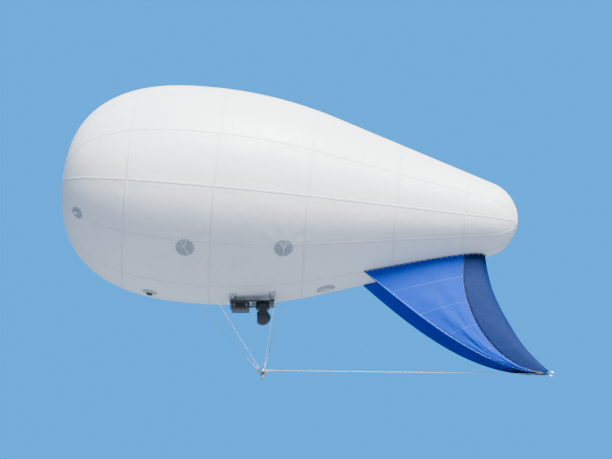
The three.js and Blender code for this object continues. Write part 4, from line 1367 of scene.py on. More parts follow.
# %% What both fittings need
PORT_X, VALVE_X = 1.750, -2.050
print("port at", skin(PORT_X, 0.0)[0].round(3), "and valve at", skin(VALVE_X, 0.0)[0].round(3))


def reinforcement(name, x, radius):
    patch = stacked(name, [layer(x, 0.0, radius, 0.0022, fingers=16, depth=0.08)], PATCH)
    return keep(patch)


def round_of(place, radius, count, height):
    """Places of screws in a circle about a place's Z, their way out and a direction along."""
    turn = turns(count, 0.5)
    points = [place @ Vector((radius * math.cos(a), radius * math.sin(a), height)) for a in turn]
    out = place.to_3x3() @ Vector((0, 0, 1))
    along = place.to_3x3() @ Vector((1, 0, 0))
    return points, [out] * count, [along] * count


def fitting_screws(name, place, radius, count, height, size=0.004):
    return keep(scatter(name, screw(f"{name}_part", size), *round_of(place, radius, count, height)))


def spoke(place, turn, reach=0.0):
    """A place turned about its own Z, and then moved outwards."""
    return place @ Matrix.Rotation(turn, 4, "Z") @ Matrix.Translation((reach, 0, 0))


def wedge(low, high, half, top_half=None):
    """Outline of a plate from low to high that reaches half to each side, or top_half at its top."""
    top_half = half if top_half is None else top_half
    return [(-half, low), (half, low), (top_half, high), (-top_half, high)]


# %% Inflation port
def inflation_port():
    place = skin_place(PORT_X, 0.0)
    body = Parts()
    body.ring([(0.050, -0.012), (0.105, -0.012), (0.105, 0.006), (0.100, 0.008), (0.068, 0.009),
               (0.062, 0.014), (0.062, 0.040), (0.050, 0.040)], place, 64)
    rib = [(0.058, 0.0), (0.092, 0.007), (0.092, 0.010), (0.061, 0.034), (0.058, 0.034)]
    for turn in turns(8):
        body.plate(rib, 0.004, upright(spoke(place, turn)))
    keep(body.piece("inflation_port_body", PLASTIC, 0.0012), "inflation_port")
    cap = Parts()
    cap.turned([(0, 0.0345), (0.062, 0.0345), (0.070, 0.0365), (0.070, 0.056), (0.066, 0.061),
                (0.030, 0.062), (0.027, 0.058), (0, 0.058)], place, 64)
    for turn in (0, math.pi / 2):
        cap.plate(wedge(0.056, 0.064, 0.026, 0.022), 0.007, upright(spoke(place, turn)))
    for turn in turns(24):
        cap.turned(drum(0.0028, 0.039, 0.053), spoke(place, turn, 0.0702), 6)
    keep(cap.piece("inflation_port_cap", DARK_PLASTIC, 0.0008), "inflation_cap")
    reinforcement("inflation_port_patch", PORT_X, 0.165)
    fitting_screws("inflation_port_screws", place, 0.094, 8, 0.0078)


inflation_port()


# %% Relief valve
def relief_valve():
    place = skin_place(VALVE_X, 0.0)
    body = Parts()
    body.ring([(0.078, -0.012), (0.140, -0.012), (0.140, 0.005), (0.134, 0.008), (0.098, 0.009),
               (0.092, 0.013), (0.092, 0.025), (0.078, 0.025)], place, 72)
    post_circle = 0.104
    for turn in turns(6):
        body.turned(drum(0.0055, 0.004, 0.032), spoke(place, turn, post_circle), 16)
    keep(body.piece("relief_valve_body", PLASTIC, 0.0012), "relief_valve")
    cover = Parts()
    cover.turned([(0, 0.0263), (0.114, 0.0263), (0.118, 0.0285), (0.118, 0.034), (0.106, 0.0395),
                  (0.045, 0.0425), (0.040, 0.0405), (0, 0.0405)], place, 72)
    rib = [(0.046, 0.038), (0.108, 0.035), (0.108, 0.0395), (0.046, 0.0435)]
    for turn in turns(12):
        cover.plate(rib, 0.003, upright(spoke(place, turn)))
    keep(cover.piece("relief_valve_plate", PLASTIC, 0.0008), "relief_valve_cover")
    reinforcement("relief_valve_patch", VALVE_X, 0.205)
    fitting_screws("relief_valve_screws", place, 0.127, 12, 0.0068)
    fitting_screws("relief_valve_nuts", place, post_circle, 6, 0.0375, size=0.0045)


relief_valve()

# %% [markdown]
# ## Belly bands and hanger straps
# The payload hangs from two bands that are glued across the belly. Four straps of doubled webbing
# drop from them to brackets on the frame, each with a ladder buckle that sets its length, so that
# the frame hangs level while the bag flies nose up. Loaded webbing is straight, so each strap and
# band is a tape of the first tree between two places or round the belly, and not simulated cloth.

# %% Belly bands
FRAME_TOP = -2.425
HANGERS = {"front": 0.150, "rear": -0.710}
HANGER_Y = 0.208
BAND_SHIFT = 0.213
BAND_HALF = 0.32  # how far round the belly a band reaches to each side
BAND_TAPES = (-0.032, 0.032)  # the two tapes of a band, ahead of its middle
BAND_SEAMS = (-0.019, 0.019)  # the stitches of a tape, ahead of its middle
BRACKET_FACE = 0.0093  # from the strap's middle to the outside of its bracket
STRAP_WIDTH, STRAP_THICK = 0.046, 0.008


def under_bag(x, y):
    """The belly over a plan position in the row's frame, and its outward direction."""
    along = x
    for _ in range(6):
        up = math.asin(y / float(profile_radius(ORIGIN - along)))
        point, outward = skin(along, up)
        along += x - point[0]
    return point, outward


def belly_band(name, x):
    bands, facings, stitch_lines, stitch_facings = [], [], [], []
    half_turn = BAND_HALF / RADIUS
    turn = np.linspace(-half_turn, half_turn, 41)
    for offset in BAND_TAPES:
        points, outward = skin(x + offset, turn, 0.0035)
        bands.append(points)
        facings.append(outward)
        for edge in BAND_SEAMS:
            line, out = skin(x + offset + edge, turn * 0.985, 0.0062)
            stitch_lines.append(line)
            stitch_facings.append(out)
    keep(tapes(f"{name}_webbing", bands, facings, STRAP_WIDTH, 0.005, WEBBING), name)
    under, out = skin(x, turn * 1.06, 0.0008)
    keep(tapes(f"{name}_patch", [under], [out], 0.150, 0.003, PATCH))
    keep(stitched(f"{name}_stitches", stitch_lines, stitch_facings, 0.012))


for end, x in HANGERS.items():
    belly_band(f"belly_band_{end}", x - BAND_SHIFT)


# %% Hanger straps and buckles
def hanger(end, x, side_name, side):
    top, _ = under_bag(x, side * HANGER_Y)
    foot = Vector((x, side * HANGER_Y, FRAME_TOP + 0.004))
    head = Vector((x, side * HANGER_Y, float(top[2]) + 0.004))
    run = [foot.lerp(head, t) for t in np.linspace(0, 1, 9)]
    outward = (0.0, side, 0.0)
    name = f"hanger_strap_{end}_{side_name}"
    strap = tapes(name, [run], [[outward] * len(run)], STRAP_WIDTH, STRAP_THICK, WEBBING)
    keep(strap, f"hanger_{end}_{side_name}")
    middle = foot.lerp(head, 0.45)
    seams = [[middle + Vector((dx, side * (STRAP_THICK / 2), dz)) for dx in (-0.018, 0.018)]
             for dz in (0.034, 0.042, 0.050)]
    keep(stitched(f"hanger_stitches_{end}_{side_name}", seams, [[outward] * 2] * 3, 0.006, 0.004))
    return foot, middle


def ladder_buckle(parts, middle, side):
    """A flat frame with three bars, which the strap is woven through."""
    face = axes(middle, (0, side, 0))
    wide, tall, rod = STRAP_WIDTH / 2 + 0.006, 0.021, 0.0032
    rim = wedge(-tall, tall, wide)
    lift = STRAP_THICK / 2 + 0.001
    bars = [*zip(rim, rim[1:] + rim[:1]), *(((-wide, y), (wide, y)) for y in (-tall / 3, tall / 3))]
    for start, end in bars:
        parts.rod([(*start, lift), (*end, lift)], rod, face, sides=8)


hanger_metal = Parts()
bracket_screws = []
for end, x in HANGERS.items():
    for side_name, side in SIDES.items():
        foot, middle = hanger(end, x, side_name, side)
        ladder_buckle(hanger_metal, middle, side)
        for dx in (-0.016, 0.016):
            bracket_screws.append((foot.x + dx, foot.y + side * BRACKET_FACE, FRAME_TOP + 0.014))
keep(hanger_metal.piece("hanger_buckles", STEEL, 0.0008))
ways = [(0, math.copysign(1, place[1]), 0) for place in bracket_screws]
keep(scatter("hanger_bracket_screws", screw("bracket_screw"), bracket_screws, ways, (1, 0, 0)))

# %% [markdown]
# ## Stays
# Four stays carry the pull of the wind from the side patches to one plate. Each is laid rope,
# turned back on itself round a thimble at both ends, and whipped with twine. Up on the patch, three
# webbing straps spread from a ring and are sewn down. At the plate a shackle joins the thimble to
# its lug. A twisted look could be a bump on a round tube, but the rope's outline would stay smooth
# where it stands against the sky, so its three strands are modelled by the second tree.

# %% Stay places
PLATE_TOP = -3.992
LUG_TALL, LUG_REACH = 0.034, 0.082
TURRET_X = -0.500
STAND = 0.034  # the stay's tab stands this far off the skin
ROPE_SIZE = 0.012
ROPE_PITCH = 0.045  # one turn of a strand
STITCH_LIFT = 0.0022  # a stitch on a strap stands this far off the strap's middle
RING_BACK = 0.050  # from the tab's middle to its ring
EYE_RADIUS = 0.017
SHACKLE_LONG = 0.046
CORNER = level((SCOOP_HEM[3][0], 0.0, SCOOP_HEM[3][1]))
CORNER_RING = 0.046


def plain_skin(x, up):
    """The bag's surface without its seams' and patches' relief."""
    radius = float(profile_radius(ORIGIN - x))
    _, outward = skin(x, up)
    return level((x, radius * math.sin(up), -radius * math.cos(up))), outward


def lug_facing(target):
    outward = Vector((target[0] - TURRET_X, target[1], 0)).normalized()
    return Vector((TURRET_X, 0, PLATE_TOP + LUG_TALL)) + outward * LUG_REACH


print("corner of the scoop:", CORNER.round(3), "and the plate:", (TURRET_X, 0.0, PLATE_TOP))

# %% Rope with an eye at each end
def eye(throat, way, normal, radius=EYE_RADIUS, count=20):
    """A rope's eye: from the throat out along way, round, and back, in the plane across normal."""
    way, normal = Vector(way), Vector(normal)
    side = normal.cross(way).normalized()
    centre = Vector(throat) + way * (1.9 * radius)
    angles = np.radians(np.linspace(-140, 140, count))
    return [centre + radius * (math.cos(a) * way + math.sin(a) * side) for a in angles]


def stay_rope(name, top, bottom, top_normal, bottom_normal):
    """Rope from one thimble to the other. At each end it turns round and back to the eye's throat."""
    top, bottom = Vector(top), Vector(bottom)
    along = (bottom - top).normalized()
    clear = EYE_RADIUS * 2.9 + 0.004  # from the far side of an eye to its throat
    start, end = top + along * clear, bottom - along * clear
    steps = [start.lerp(end, t) for t in np.linspace(0, 1, 24)]
    lines = [steps, [start, *eye(start, -along, top_normal), start]]
    lines.append([end, *eye(end, along, bottom_normal), end])
    made = guide(name, lines)
    laid = grow(made, ROPE_TREE, diameter=ROPE_SIZE, pitch=ROPE_PITCH, step=0.006, material=ROPE)
    return laid, start, end, along


print(f"eyes of {2 * EYE_RADIUS:.3f} m in rope of {ROPE_SIZE:.3f} m")

# %% Whippings, thimbles and shackles
WHIPPING_LONG, TWINE = 0.085, 0.0025
print(f"{WHIPPING_LONG / TWINE:.0f} turns of twine over each splice")


def whipping(parts, throat, way):
    """Turns of twine over a splice. They lie side by side and follow its taper."""
    profile = [(0, -0.004)]
    for z in np.arange(0, WHIPPING_LONG, TWINE):
        size = ROPE_SIZE * (1.05 - 0.5 * (z / WHIPPING_LONG) ** 0.7)
        profile += [(size - TWINE * 0.3, z - TWINE / 2), (size, z - TWINE / 4), (size, z + TWINE / 4)]
    profile.append((0, WHIPPING_LONG))
    parts.turned(profile, axes(throat, way), 14)


def thimble(parts, throat, way, normal):
    """A grooved metal eye inside the rope's eye."""
    path = eye(throat, way, normal, EYE_RADIUS - 0.0055, 18)
    for sideways in (-0.0045, 0.0045):
        shifted = [point + Vector(normal).normalized() * sideways for point in path]
        parts.rod(shifted, 0.0018, sides=6)
    parts.rod(path, 0.003, sides=6)


def shackle(parts, pin_at, pin_way, way, inner=0.009, rod=0.005, length=SHACKLE_LONG):
    """A bow shackle. Its pin lies along pin_way, and its bow looks along way."""
    place = axes(pin_at, Vector(pin_way).cross(Vector(way)), pin_way)
    reach = inner + rod
    bow = arc(reach, 0, 180, 13, (0, length - reach))
    path = [(reach, 0, 0), (reach, length * 0.3, 0)] + [(x, y, 0) for x, y in bow]
    path += [(-reach, length * 0.3, 0), (-reach, 0, 0)]
    if (place.to_3x3() @ Vector((0, 1, 0))).dot(Vector(way)) < 0:
        place = place @ Matrix.Rotation(math.pi, 4, "X")
    parts.rod(path, rod, place, sides=10)
    pin = place @ Matrix.Rotation(math.pi / 2, 4, "Y")
    thin, head = 0.0055, 0.0085
    parts.turned([(0, -reach - 0.009), (head, -reach - 0.009), (head, -reach - 0.001), (thin, -reach),
                  (thin, reach), (head, reach + 0.001), (head, reach + 0.008), (0, reach + 0.008)],
                 pin, 12)


# %% Straps on a patch
STRAP_SPREAD = (-38, 0, 38)  # degrees to each side of the pull
FAN_LONG, FAN_LIFT = 0.175, 0.0088
FAN_WIDTH, FAN_THICK = 0.030, 0.004
print(f"{len(STRAP_SPREAD)} straps on each patch")


def fan_straps(name, x0, up, along, ring):
    """Straps from under the ring, spread over the patch."""
    point, outward = skin(x0, up, 0.0)
    outward = Vector(outward)
    down = (along - outward * along.dot(outward)).normalized()
    across = outward.cross(down)
    body_radius = float(profile_radius(ORIGIN - x0))
    forward = Vector(level((1, 0, 0)))
    round_way = outward.cross(forward)
    lines, facings, seams, seam_ways = [], [], [], []
    for spread in STRAP_SPREAD:
        turn = math.radians(spread)
        back = -(down * math.cos(turn) + across * math.sin(turn))
        line, ways = [], []
        for reach in np.linspace(FAN_LONG, 0.0, 12):
            step = back * reach
            here, out = skin(x0 + step.dot(forward), up - step.dot(round_way) / body_radius, FAN_LIFT)
            line.append(Vector(here))
            ways.append(Vector(out))
        rise = [line[-1].lerp(ring, t) + outward * 0.010 * math.sin(math.pi * t)
                for t in (0.25, 0.5, 0.75, 0.93)]
        lines.append(line + rise)
        facings.append(ways + [outward] * 4)
        for edge in (-0.011, 0.011):
            to_side, back_down = across * edge * math.cos(turn), down * edge * math.sin(turn)
            seams.append([point + to_side - back_down + way * STITCH_LIFT
                          for point, way in zip(line[:10], ways)])
            seam_ways.append(ways[:10])
    keep(tapes(f"{name}_straps", lines, facings, FAN_WIDTH, FAN_THICK, WEBBING), name)
    keep(stitched(f"{name}_stitches", seams, seam_ways, 0.010, 0.006))


# %% Make the stays
bridle_metal = Parts()
splices = Parts()


def rigged(name, node, top, lug, along, top_normal, pin_way):
    """A rope from its top down along to a lug, with its shackle, thimbles and whippings."""
    shackle(bridle_metal, lug, pin_way, -along)
    bottom = lug - along * (SHACKLE_LONG - 0.012)
    laid, top_throat, bottom_throat, way = stay_rope(name, top, bottom, top_normal, pin_way)
    keep(laid, node)
    thimble(bridle_metal, top_throat, -way, top_normal)
    thimble(bridle_metal, bottom_throat, way, pin_way)
    whipping(splices, top_throat, way)
    whipping(splices, bottom_throat, -way)


for end, (x0, up, _) in LOAD_PATCHES.items():
    for side_name, side in SIDES.items():
        point, outward = plain_skin(x0, side * up)
        start = Vector(point + STAND * outward)
        lug = lug_facing(start)
        along = (lug - start).normalized()
        ring = start + along * RING_BACK
        across = Vector(outward).cross(along).normalized()
        radial = Vector((lug.x - TURRET_X, lug.y, 0)).normalized()
        pin_way = radial.cross(Vector((0, 0, 1)))
        place_name = f"{end}_{side_name}"
        top = ring - along * 0.006
        rigged(f"stay_rope_{place_name}", f"stay_{place_name}", top, lug, along, across, pin_way)
        print(f"  {(lug - start).length:.2f} m from patch to plate")
        dee = axes(ring, across.cross(along), along)
        loop = [(0.014 * math.cos(a) - 0.004, 0.020 * math.sin(a), 0.0) for a in turns(24)]
        bridle_metal.rod(loop, 0.0045, dee, closed=True, sides=10)
        fan_straps(f"stay_tab_{place_name}", x0, side * up, along, ring - along * 0.014)

# %% [markdown]
# ## The corner line
# One more line holds the scoop's corner down and forward. It runs from the corner ring to the
# plate's rear lug, level in this trim. It could hang in a curve, but the scoop pulls it taut, so it
# is made as the stays are.

# %% Make the corner line
rear_lug = lug_facing(CORNER)
corner_way = (rear_lug - Vector(CORNER)).normalized()
level_side = Vector((0, 1, 0))
ring_edge = Vector(CORNER) + corner_way * (CORNER_RING - 0.010)
rigged("corner_rope", "scoop_corner_line", ring_edge, rear_lug, corner_way, level_side, level_side)
keep(bridle_metal.piece("bridle_shackles_and_thimbles", STEEL))
keep(splices.piece("splice_whippings", ROPE))

# %% [markdown]
# ## Plate, swivel and clevis
# The plate, the swivel's housing and the clevis are machined parts, whose solids already have the
# right shape. They could stay as they are, with a finish on their slots, but their edges would be
# razor sharp. So a merged copy of each gets bevelled edges, and screws and a grease point finish
# them. The clevis rides on its own body, because it turns under the housing.

# %% Make the swivel
def machined(node, name, material, bevel):
    """A copy of a solid, with its edges bevelled."""
    shape = bmesh.new()
    shape.from_mesh(frame["nodes"][node].data)
    bmesh.ops.remove_doubles(shape, verts=shape.verts, dist=2e-5)
    bmesh.ops.dissolve_limit(shape, angle_limit=math.radians(1), verts=shape.verts, edges=shape.edges)
    mesh = bpy.data.meshes.new(name)
    shape.to_mesh(mesh)
    shape.free()
    mesh.materials.append(material)
    return finished(linked(name, mesh), bevel)


keep(machined("confluence_plate", "stay_plate", ALUMINIUM, 0.0016), "confluence_plate")
keep(machined("swivel_housing", "swivel_body", STEEL, 0.0015), "swivel_housing")
keep(machined("tether_clevis", "clevis_body", STEEL, 0.0018), "tether_clevis", body="clevis")
HOUSING_TOP, HOUSING_RADIUS = -4.0083, 0.042
plate_place = Matrix.Translation((TURRET_X, 0, PLATE_TOP))
fitting_screws("stay_plate_screws", plate_place, 0.030, 6, 0.0, size=0.005)
nipple = Parts()
side_way = axes((TURRET_X - 0.041, 0, HOUSING_TOP - 0.034), (-1, 0, 0), (0, 0, 1))
nipple.turned([(0, 0), (0.0055, 0), (0.0055, 0.005), (0.003, 0.006), (0.003, 0.010), (0.0042, 0.012),
               (0.002, 0.0145), (0, 0.0145)], side_way, 6)
for drop in (0.012, 0.052):
    groove = Matrix.Translation((TURRET_X, 0, HOUSING_TOP - drop))
    nipple.ring(band(HOUSING_RADIUS - 0.002, HOUSING_RADIUS + 0.0014, 0.0022), groove, 48)
keep(nipple.piece("swivel_grease_point", STEEL, 0.0005))

# %% [markdown]
# ## Binding, seams and doublers on the scoop
# Thin cloth needs help at its edges. The free hems are bound with folded tape, the panels meet in
# a taped seam, and narrower seams show where each panel was pieced from widths of cloth. A seam
# could be painted on with a mask, but a real one stands proud and catches the light. So all of
# these are tapes and stitches whose guides are rows and columns of the panels' own grid.

# %% Trim the scoop
PIECED = {"scoop_cloth_port": 5, "scoop_cloth_starboard": 5, "scoop_cloth_stern": 4}
BINDING_WIDTH, SEAM_WIDTH, TRIM_THICK = 0.036, 0.030, 0.006
WIDTHS_TAPE, WIDTHS_THICK = 0.014, 0.0042
HEMS = (("scoop_cloth_port", -1), ("scoop_cloth_starboard", 0))
SEAMS = (("scoop_cloth_stern", 0), ("scoop_cloth_stern", -1))


def edges_of(columns):
    """Edges of the panels as lines of points, and their outward directions."""
    lines = [CLOTH[name][:, column] for name, column in columns]
    ways = [normals_of(CLOTH[name])[:, column] for name, column in columns]
    return lines, ways


keep(tapes("scoop_hem_binding", *edges_of(HEMS), BINDING_WIDTH, TRIM_THICK, BLUE_TAPE))
keep(tapes("scoop_panel_seams", *edges_of(SEAMS), SEAM_WIDTH, TRIM_THICK, NAVY_TAPE))

for name, count in PIECED.items():
    points = CLOTH[name]
    rows = [int(share * (len(points) - 1)) for share in (np.arange(count) + 1) / (count + 0.6)]
    ways = normals_of(points)
    material = NAVY_TAPE if "stern" in name else BLUE_TAPE
    keep(tapes(f"{name}_widths", points[rows], ways[rows], WIDTHS_TAPE, WIDTHS_THICK, material))


# %% Sew the edges
EDGE_PITCH, EDGE_STITCH = 0.016, 0.008


def edge_stitches(name, columns, spots):
    """Two rows of stitches beside edges of the cloth, on its outer side."""
    lines, ways = [], []
    for cloth_name, column in columns:
        points = CLOTH[cloth_name]
        out = normals_of(points)[:, column]
        inward = 1 if column == 0 else -1
        way = unit(points[:, column + inward] - points[:, column])
        for spot in spots:
            lines.append(points[:, column] + way * spot + out * 0.0034)
            ways.append(out)
    return keep(stitched(name, lines, ways, EDGE_PITCH, EDGE_STITCH))


edge_stitches("scoop_hem_stitches", HEMS, (0.004, 0.013))
edge_stitches("scoop_seam_stitches", SEAMS, (-0.009, 0.009))

# %% [markdown]
# ## Corner straps
# The corner takes the whole pull of the scoop, so the cloth is doubled there, and five straps run
# from the ring up the hems, the seams and the middle of the stern. They could be cut from the
# panels' grid, but they run on past its end to the ring. So each strap is a tape whose guide
# follows the scoop's surface, and only the doubled cloth is taken from the grid.

# %% Corner straps
STRAP_END = 0.9895  # where a strap meets the corner ring, as a share of the way down the scoop
STRAP_POINTS, SEWN_POINTS = 30, 24
CORNER_STRAP_WIDTH, CORNER_STRAP_THICK = 0.028, 0.004


def corner_strap(start, around):
    """Points of a strap from the cloth down to the corner ring, and its outward directions."""
    down = np.linspace(start, STRAP_END, STRAP_POINTS)
    round_it = around(down)
    step = 1e-3
    here = scoop(down, round_it)
    across = scoop(down, round_it + step) - scoop(down, round_it - step)
    along = scoop(down + step, round_it) - scoop(down - step, round_it)
    way = unit(np.cross(across, along))
    return here + way * 0.006, way


STRAP_STARTS = {
    "port_hem": (0.80, lambda down: np.full_like(down, 0.97)),
    "port_seam": (0.84, seam_at),
    "stern": (0.86, lambda down: 0 * down),
    "starboard_seam": (0.84, other_seam),
    "starboard_hem": (0.80, lambda down: np.full_like(down, -0.97)),
}
strap_lines, strap_ways, strap_seams, strap_seam_ways = [], [], [], []
for start, around in STRAP_STARTS.values():
    line, way = corner_strap(start, around)
    strap_lines.append(line)
    strap_ways.append(way)
    side = np.cross(way, unit(np.gradient(line, axis=0)))
    for spot in (-0.010, 0.010):
        strap_seams.append((line + side * spot + way * STITCH_LIFT)[:SEWN_POINTS])
        strap_seam_ways.append(way[:SEWN_POINTS])
keep(tapes("scoop_corner_straps", strap_lines, strap_ways, CORNER_STRAP_WIDTH, CORNER_STRAP_THICK,
           NAVY_TAPE))
keep(stitched("scoop_corner_stitches", strap_seams, strap_seam_ways, 0.010, 0.006))


# %% Doubled cloth at the corner
def doubler(name, cloth_name, first, shape, material):
    """A second layer of cloth over the corner, whose upper edge follows shape(u)."""
    points = CLOTH[cloth_name]
    rows, columns = points.shape[:2]
    u = np.linspace(0, 1, columns)
    v = np.linspace(0, 1, rows)
    begin = first + shape(u)
    count = 26
    down = begin + (1 - begin) * np.linspace(0, 1, count)[:, None]
    out = normals_of(points)
    layered = points + out * 0.0028
    grid = np.stack([between(down[:, i], v, layered[:, i]) for i in range(columns)], axis=1)
    across = np.broadcast_to(u * 1.2, (count, columns))
    uv = np.stack([across, down * 4], axis=-1)
    return keep(walled(new_piece(name, grid, grid_faces(count, columns), material, uv), 0.0016))


doubler("scoop_corner_doubler_stern", "scoop_cloth_stern", 0.84,
        lambda u: -0.05 * np.sin(math.pi * u), NAVY)
for side_name, toward in (("port", lambda u: u), ("starboard", lambda u: 1 - u)):
    doubler(f"scoop_corner_doubler_{side_name}", f"scoop_cloth_{side_name}", 0.82,
            lambda u: 0.06 * (1 - toward(u)) - 0.03 * toward(u), BLUE)
keep(machined("scoop_corner_ring", "corner_ring", STEEL, 0.0), "scoop_corner_ring")

# %% [markdown]
# ## Lacing
# The scoop comes off for packing, so it isn't sewn to the bag. A webbing strip on the belly and the
# cloth's top edge both carry eyelets, and one cord is laced through them in turn. An array on a
# curve could place the eyelets, but each has to lie flat on the belly or on the cloth. So they are
# scattered on points with their own ways out, evenly spaced along the edge.

# %% Places of the eyelets
STRIP_TOP = 0.007  # of the lacing strip, over the skin


def lacing():
    edge, below, out = [], [], []
    for name in ("scoop_cloth_starboard", "scoop_cloth_stern", "scoop_cloth_port"):
        points = CLOTH[name]
        across = run_along(points[0])
        count = int(across[-1] / LACE_SPACING)
        stops = (np.arange(count) + 0.5) * across[-1] / count
        edge.append(between(stops, across, points[0]))
        below.append(between(stops, across, points[1]))
        out.append(between(stops, across, normals_of(points)[1]))
    edge, below, out = (np.concatenate(values) for values in (edge, below, out))
    return edge, below, out, unit(np.gradient(edge, axis=0))


edge, below, out, tangent = lacing()
belly_way = np.array([under_bag(x, y)[1] for x, y, _ in edge])
beside = np.cross(belly_way, tangent)
beside *= np.sign(np.sum(beside * out, axis=-1, keepdims=True))
strip_holes = np.array([under_bag(x, y)[0] for x, y, _ in edge + beside * 0.022])
cloth_holes = below + out * (CLOTH_THICK / 2 + 0.0006)

print(f"lacing: {len(edge)} eyelets each way")

# %% Make the lacing
STRIP_WIDTH, STRIP_THICK, STRIP_LIFT = 0.068, 0.0055, 0.0042
LACE_RADIUS = 0.0028
strip_line, strip_way = [], []
for around in np.linspace(-1, 1, 161):
    point = scoop(0.0, around)
    ground, way = under_bag(float(point[0]), float(point[1]))
    strip_line.append(ground + way * STRIP_LIFT)
    strip_way.append(way)
strip = tapes("scoop_lacing_webbing", [strip_line], [strip_way], STRIP_WIDTH, STRIP_THICK, WEBBING)
keep(strip, "scoop_lacing_strip")
places = np.concatenate([strip_holes + belly_way * STRIP_TOP, cloth_holes])
facing = np.concatenate([belly_way, out])
ways = np.concatenate([tangent, tangent])
keep(scatter("scoop_lacing_eyelets", eyelet("lacing_eyelet"), places, facing, ways))

cord_path = []
for i in range(len(edge)):
    over = strip_holes[i] + belly_way[i] * (STRIP_TOP + 0.005)
    bend = edge[i] + out[i] * 0.014 + belly_way[i] * 0.008
    under = cloth_holes[i] + out[i] * 0.005
    cord_path += [over, bend, under]
    if i + 1 < len(edge):
        back_bend = (edge[i] + edge[i + 1]) / 2 + out[i] * 0.015 + belly_way[i] * 0.009
        cord_path += [under * 0.8 + cloth_holes[i + 1] * 0.2 - out[i] * 0.001, back_bend]
cord = Parts()
cord.rod(cord_path, LACE_RADIUS, sides=7)
keep(cord.piece("scoop_lacing_line", ROPE))

# %% [markdown]
# ## What the sheets were cut to
# Each panel of the scoop is a sheet of cloth that was cut flat and then sewn. Its flat size could
# be guessed from a cutting plan. Here it is measured along the panel's own threads instead.

for name, (flat, area) in FLAT.items():
    side = name.rsplit("_", 1)[-1]
    trim = [o for o in bpy.data.objects if o.name in (f"{name}_widths", f"scoop_corner_doubler_{side}")]
    print(f"{name}: cut from {flat[0]:.2f} by {flat[1]:.2f} m, with {len(trim)} pieces on it")

# %% [markdown]
# ## The payload frame and its box
# The frame is milled from aluminium plate, so a bevelled copy of its solid is right. The box under
# it is cast and painted, with wide round corners, so it is built again in the same size. Then it
# gets what such a box needs: cooling fins, which are one fin scattered on points, draw latches, a
# bottom plate, sealed connectors, and screws in its rim.

# %% Dress the frame
FRAME_BOTTOM = -2.455
BAR_MIDDLE = 0.208
DOWN, FORWARD = (0, 0, -1), (1, 0, 0)
keep(machined("payload_frame", "payload_tray", ANODISED, 0.002), "payload_frame")
down_the_sides, across_the_ends = np.linspace(-0.735, 0.165, 11), np.linspace(-0.15, 0.15, 4)
places = [(x, y, FRAME_BOTTOM) for y in (-BAR_MIDDLE, BAR_MIDDLE) for x in down_the_sides]
places += [(x, y, FRAME_BOTTOM) for x in (-0.735, 0.188) for y in across_the_ends]
keep(scatter("payload_tray_bolts", bolt("tray_bolt"), places, DOWN, FORWARD))

# %% Fins and latches
BOX_FRONT, BOX_REAR, BOX_HALF = 0.180, -0.210, 0.165
BOX_TOP, BOX_TALL = -2.4553, 0.140
BOX_BOTTOM = BOX_TOP - BOX_TALL
BOX_RIM, BOX_LIP, BOX_CORNER = 0.018, 0.008, 0.028
print(f"box {BOX_FRONT - BOX_REAR:.3f} by {2 * BOX_HALF:.3f} by {BOX_TALL:.3f} m")


def box_fins():
    """Thin upright fins on both long sides."""
    fin = Parts()
    fin.plate(wedge(-0.050, 0.050, 0.0015, 0.0010), 0.022)
    part = fin.piece("box_fin", CASE, 0.0004, 1)
    row = np.linspace(-0.105, 0.075, 19)
    places = [(x, side * BOX_HALF, BOX_TOP - 0.072) for side in (-1, 1) for x in row]
    facing = [(0, math.copysign(1, place[1]), 0) for place in places]
    return scatter("equipment_box_fins", part, places, facing, FORWARD)


def latch(parts, x, side):
    """A draw latch: base plate, lever and hook."""
    place = axes((x, side * BOX_HALF, BOX_TOP - 0.050), (0, side, 0))
    up = 1 if (place.to_3x3() @ Vector((0, 1, 0))).z > 0 else -1
    parts.plate(wedge(-0.030, 0.022, 0.014), 0.003, place @ Matrix.Translation((0, 0, 0.0015)))
    lever = wedge(-0.026 * up, 0.014 * up, 0.011, 0.009)
    parts.plate(lever, 0.0035, place @ Matrix.Translation((0, 0, 0.0075)))
    for dx in (-0.0085, 0.0085):
        parts.rod([(dx, 0.010 * up, 0.007), (dx, 0.036 * up, 0.0095)], 0.0017, place, sides=8)
    parts.rod([(-0.0095, 0.036 * up, 0.0095), (0.0095, 0.036 * up, 0.0095)], 0.0019, place, sides=8)
    parts.rod([(-0.012, 0.012 * up, 0.005), (0.012, 0.012 * up, 0.005)], 0.003, place, sides=10)


keep(box_fins())
latches = Parts()
for side in (-1, 1):
    for x in (-0.150, 0.120):
        latch(latches, x, side)

# %% Connectors
def connector(parts, caps, place, size=0.013):
    """A round bayonet connector with its screwed dust cap."""
    parts.turned([(0, -0.001), (size * 1.45, -0.001), (size * 1.45, 0.003), (size, 0.003),
                  (size, 0.012), (0, 0.012)], place, 32)
    caps.turned([(0, 0.010), (size * 1.12, 0.010), (size * 1.18, 0.012), (size * 1.18, 0.023),
                 (size, 0.026), (0, 0.026)], place, 32)
    for turn in turns(16):
        caps.turned(drum(0.0016, 0.012, 0.0225), spoke(place, turn, size * 1.18), 6)


dust_caps = Parts()
for y in (-0.085, 0.0, 0.085):
    connector(latches, dust_caps, axes((BOX_FRONT, y, BOX_TOP - 0.075), FORWARD, (0, 1, 0)))
connector(latches, dust_caps, axes((BOX_REAR, 0.09, BOX_TOP - 0.075), (-1, 0, 0), (0, 1, 0)), 0.010)
keep(latches.piece("equipment_box_latches", STEEL, 0.0005))
keep(dust_caps.piece("equipment_box_dust_caps", DARK_PLASTIC, 0.0004))

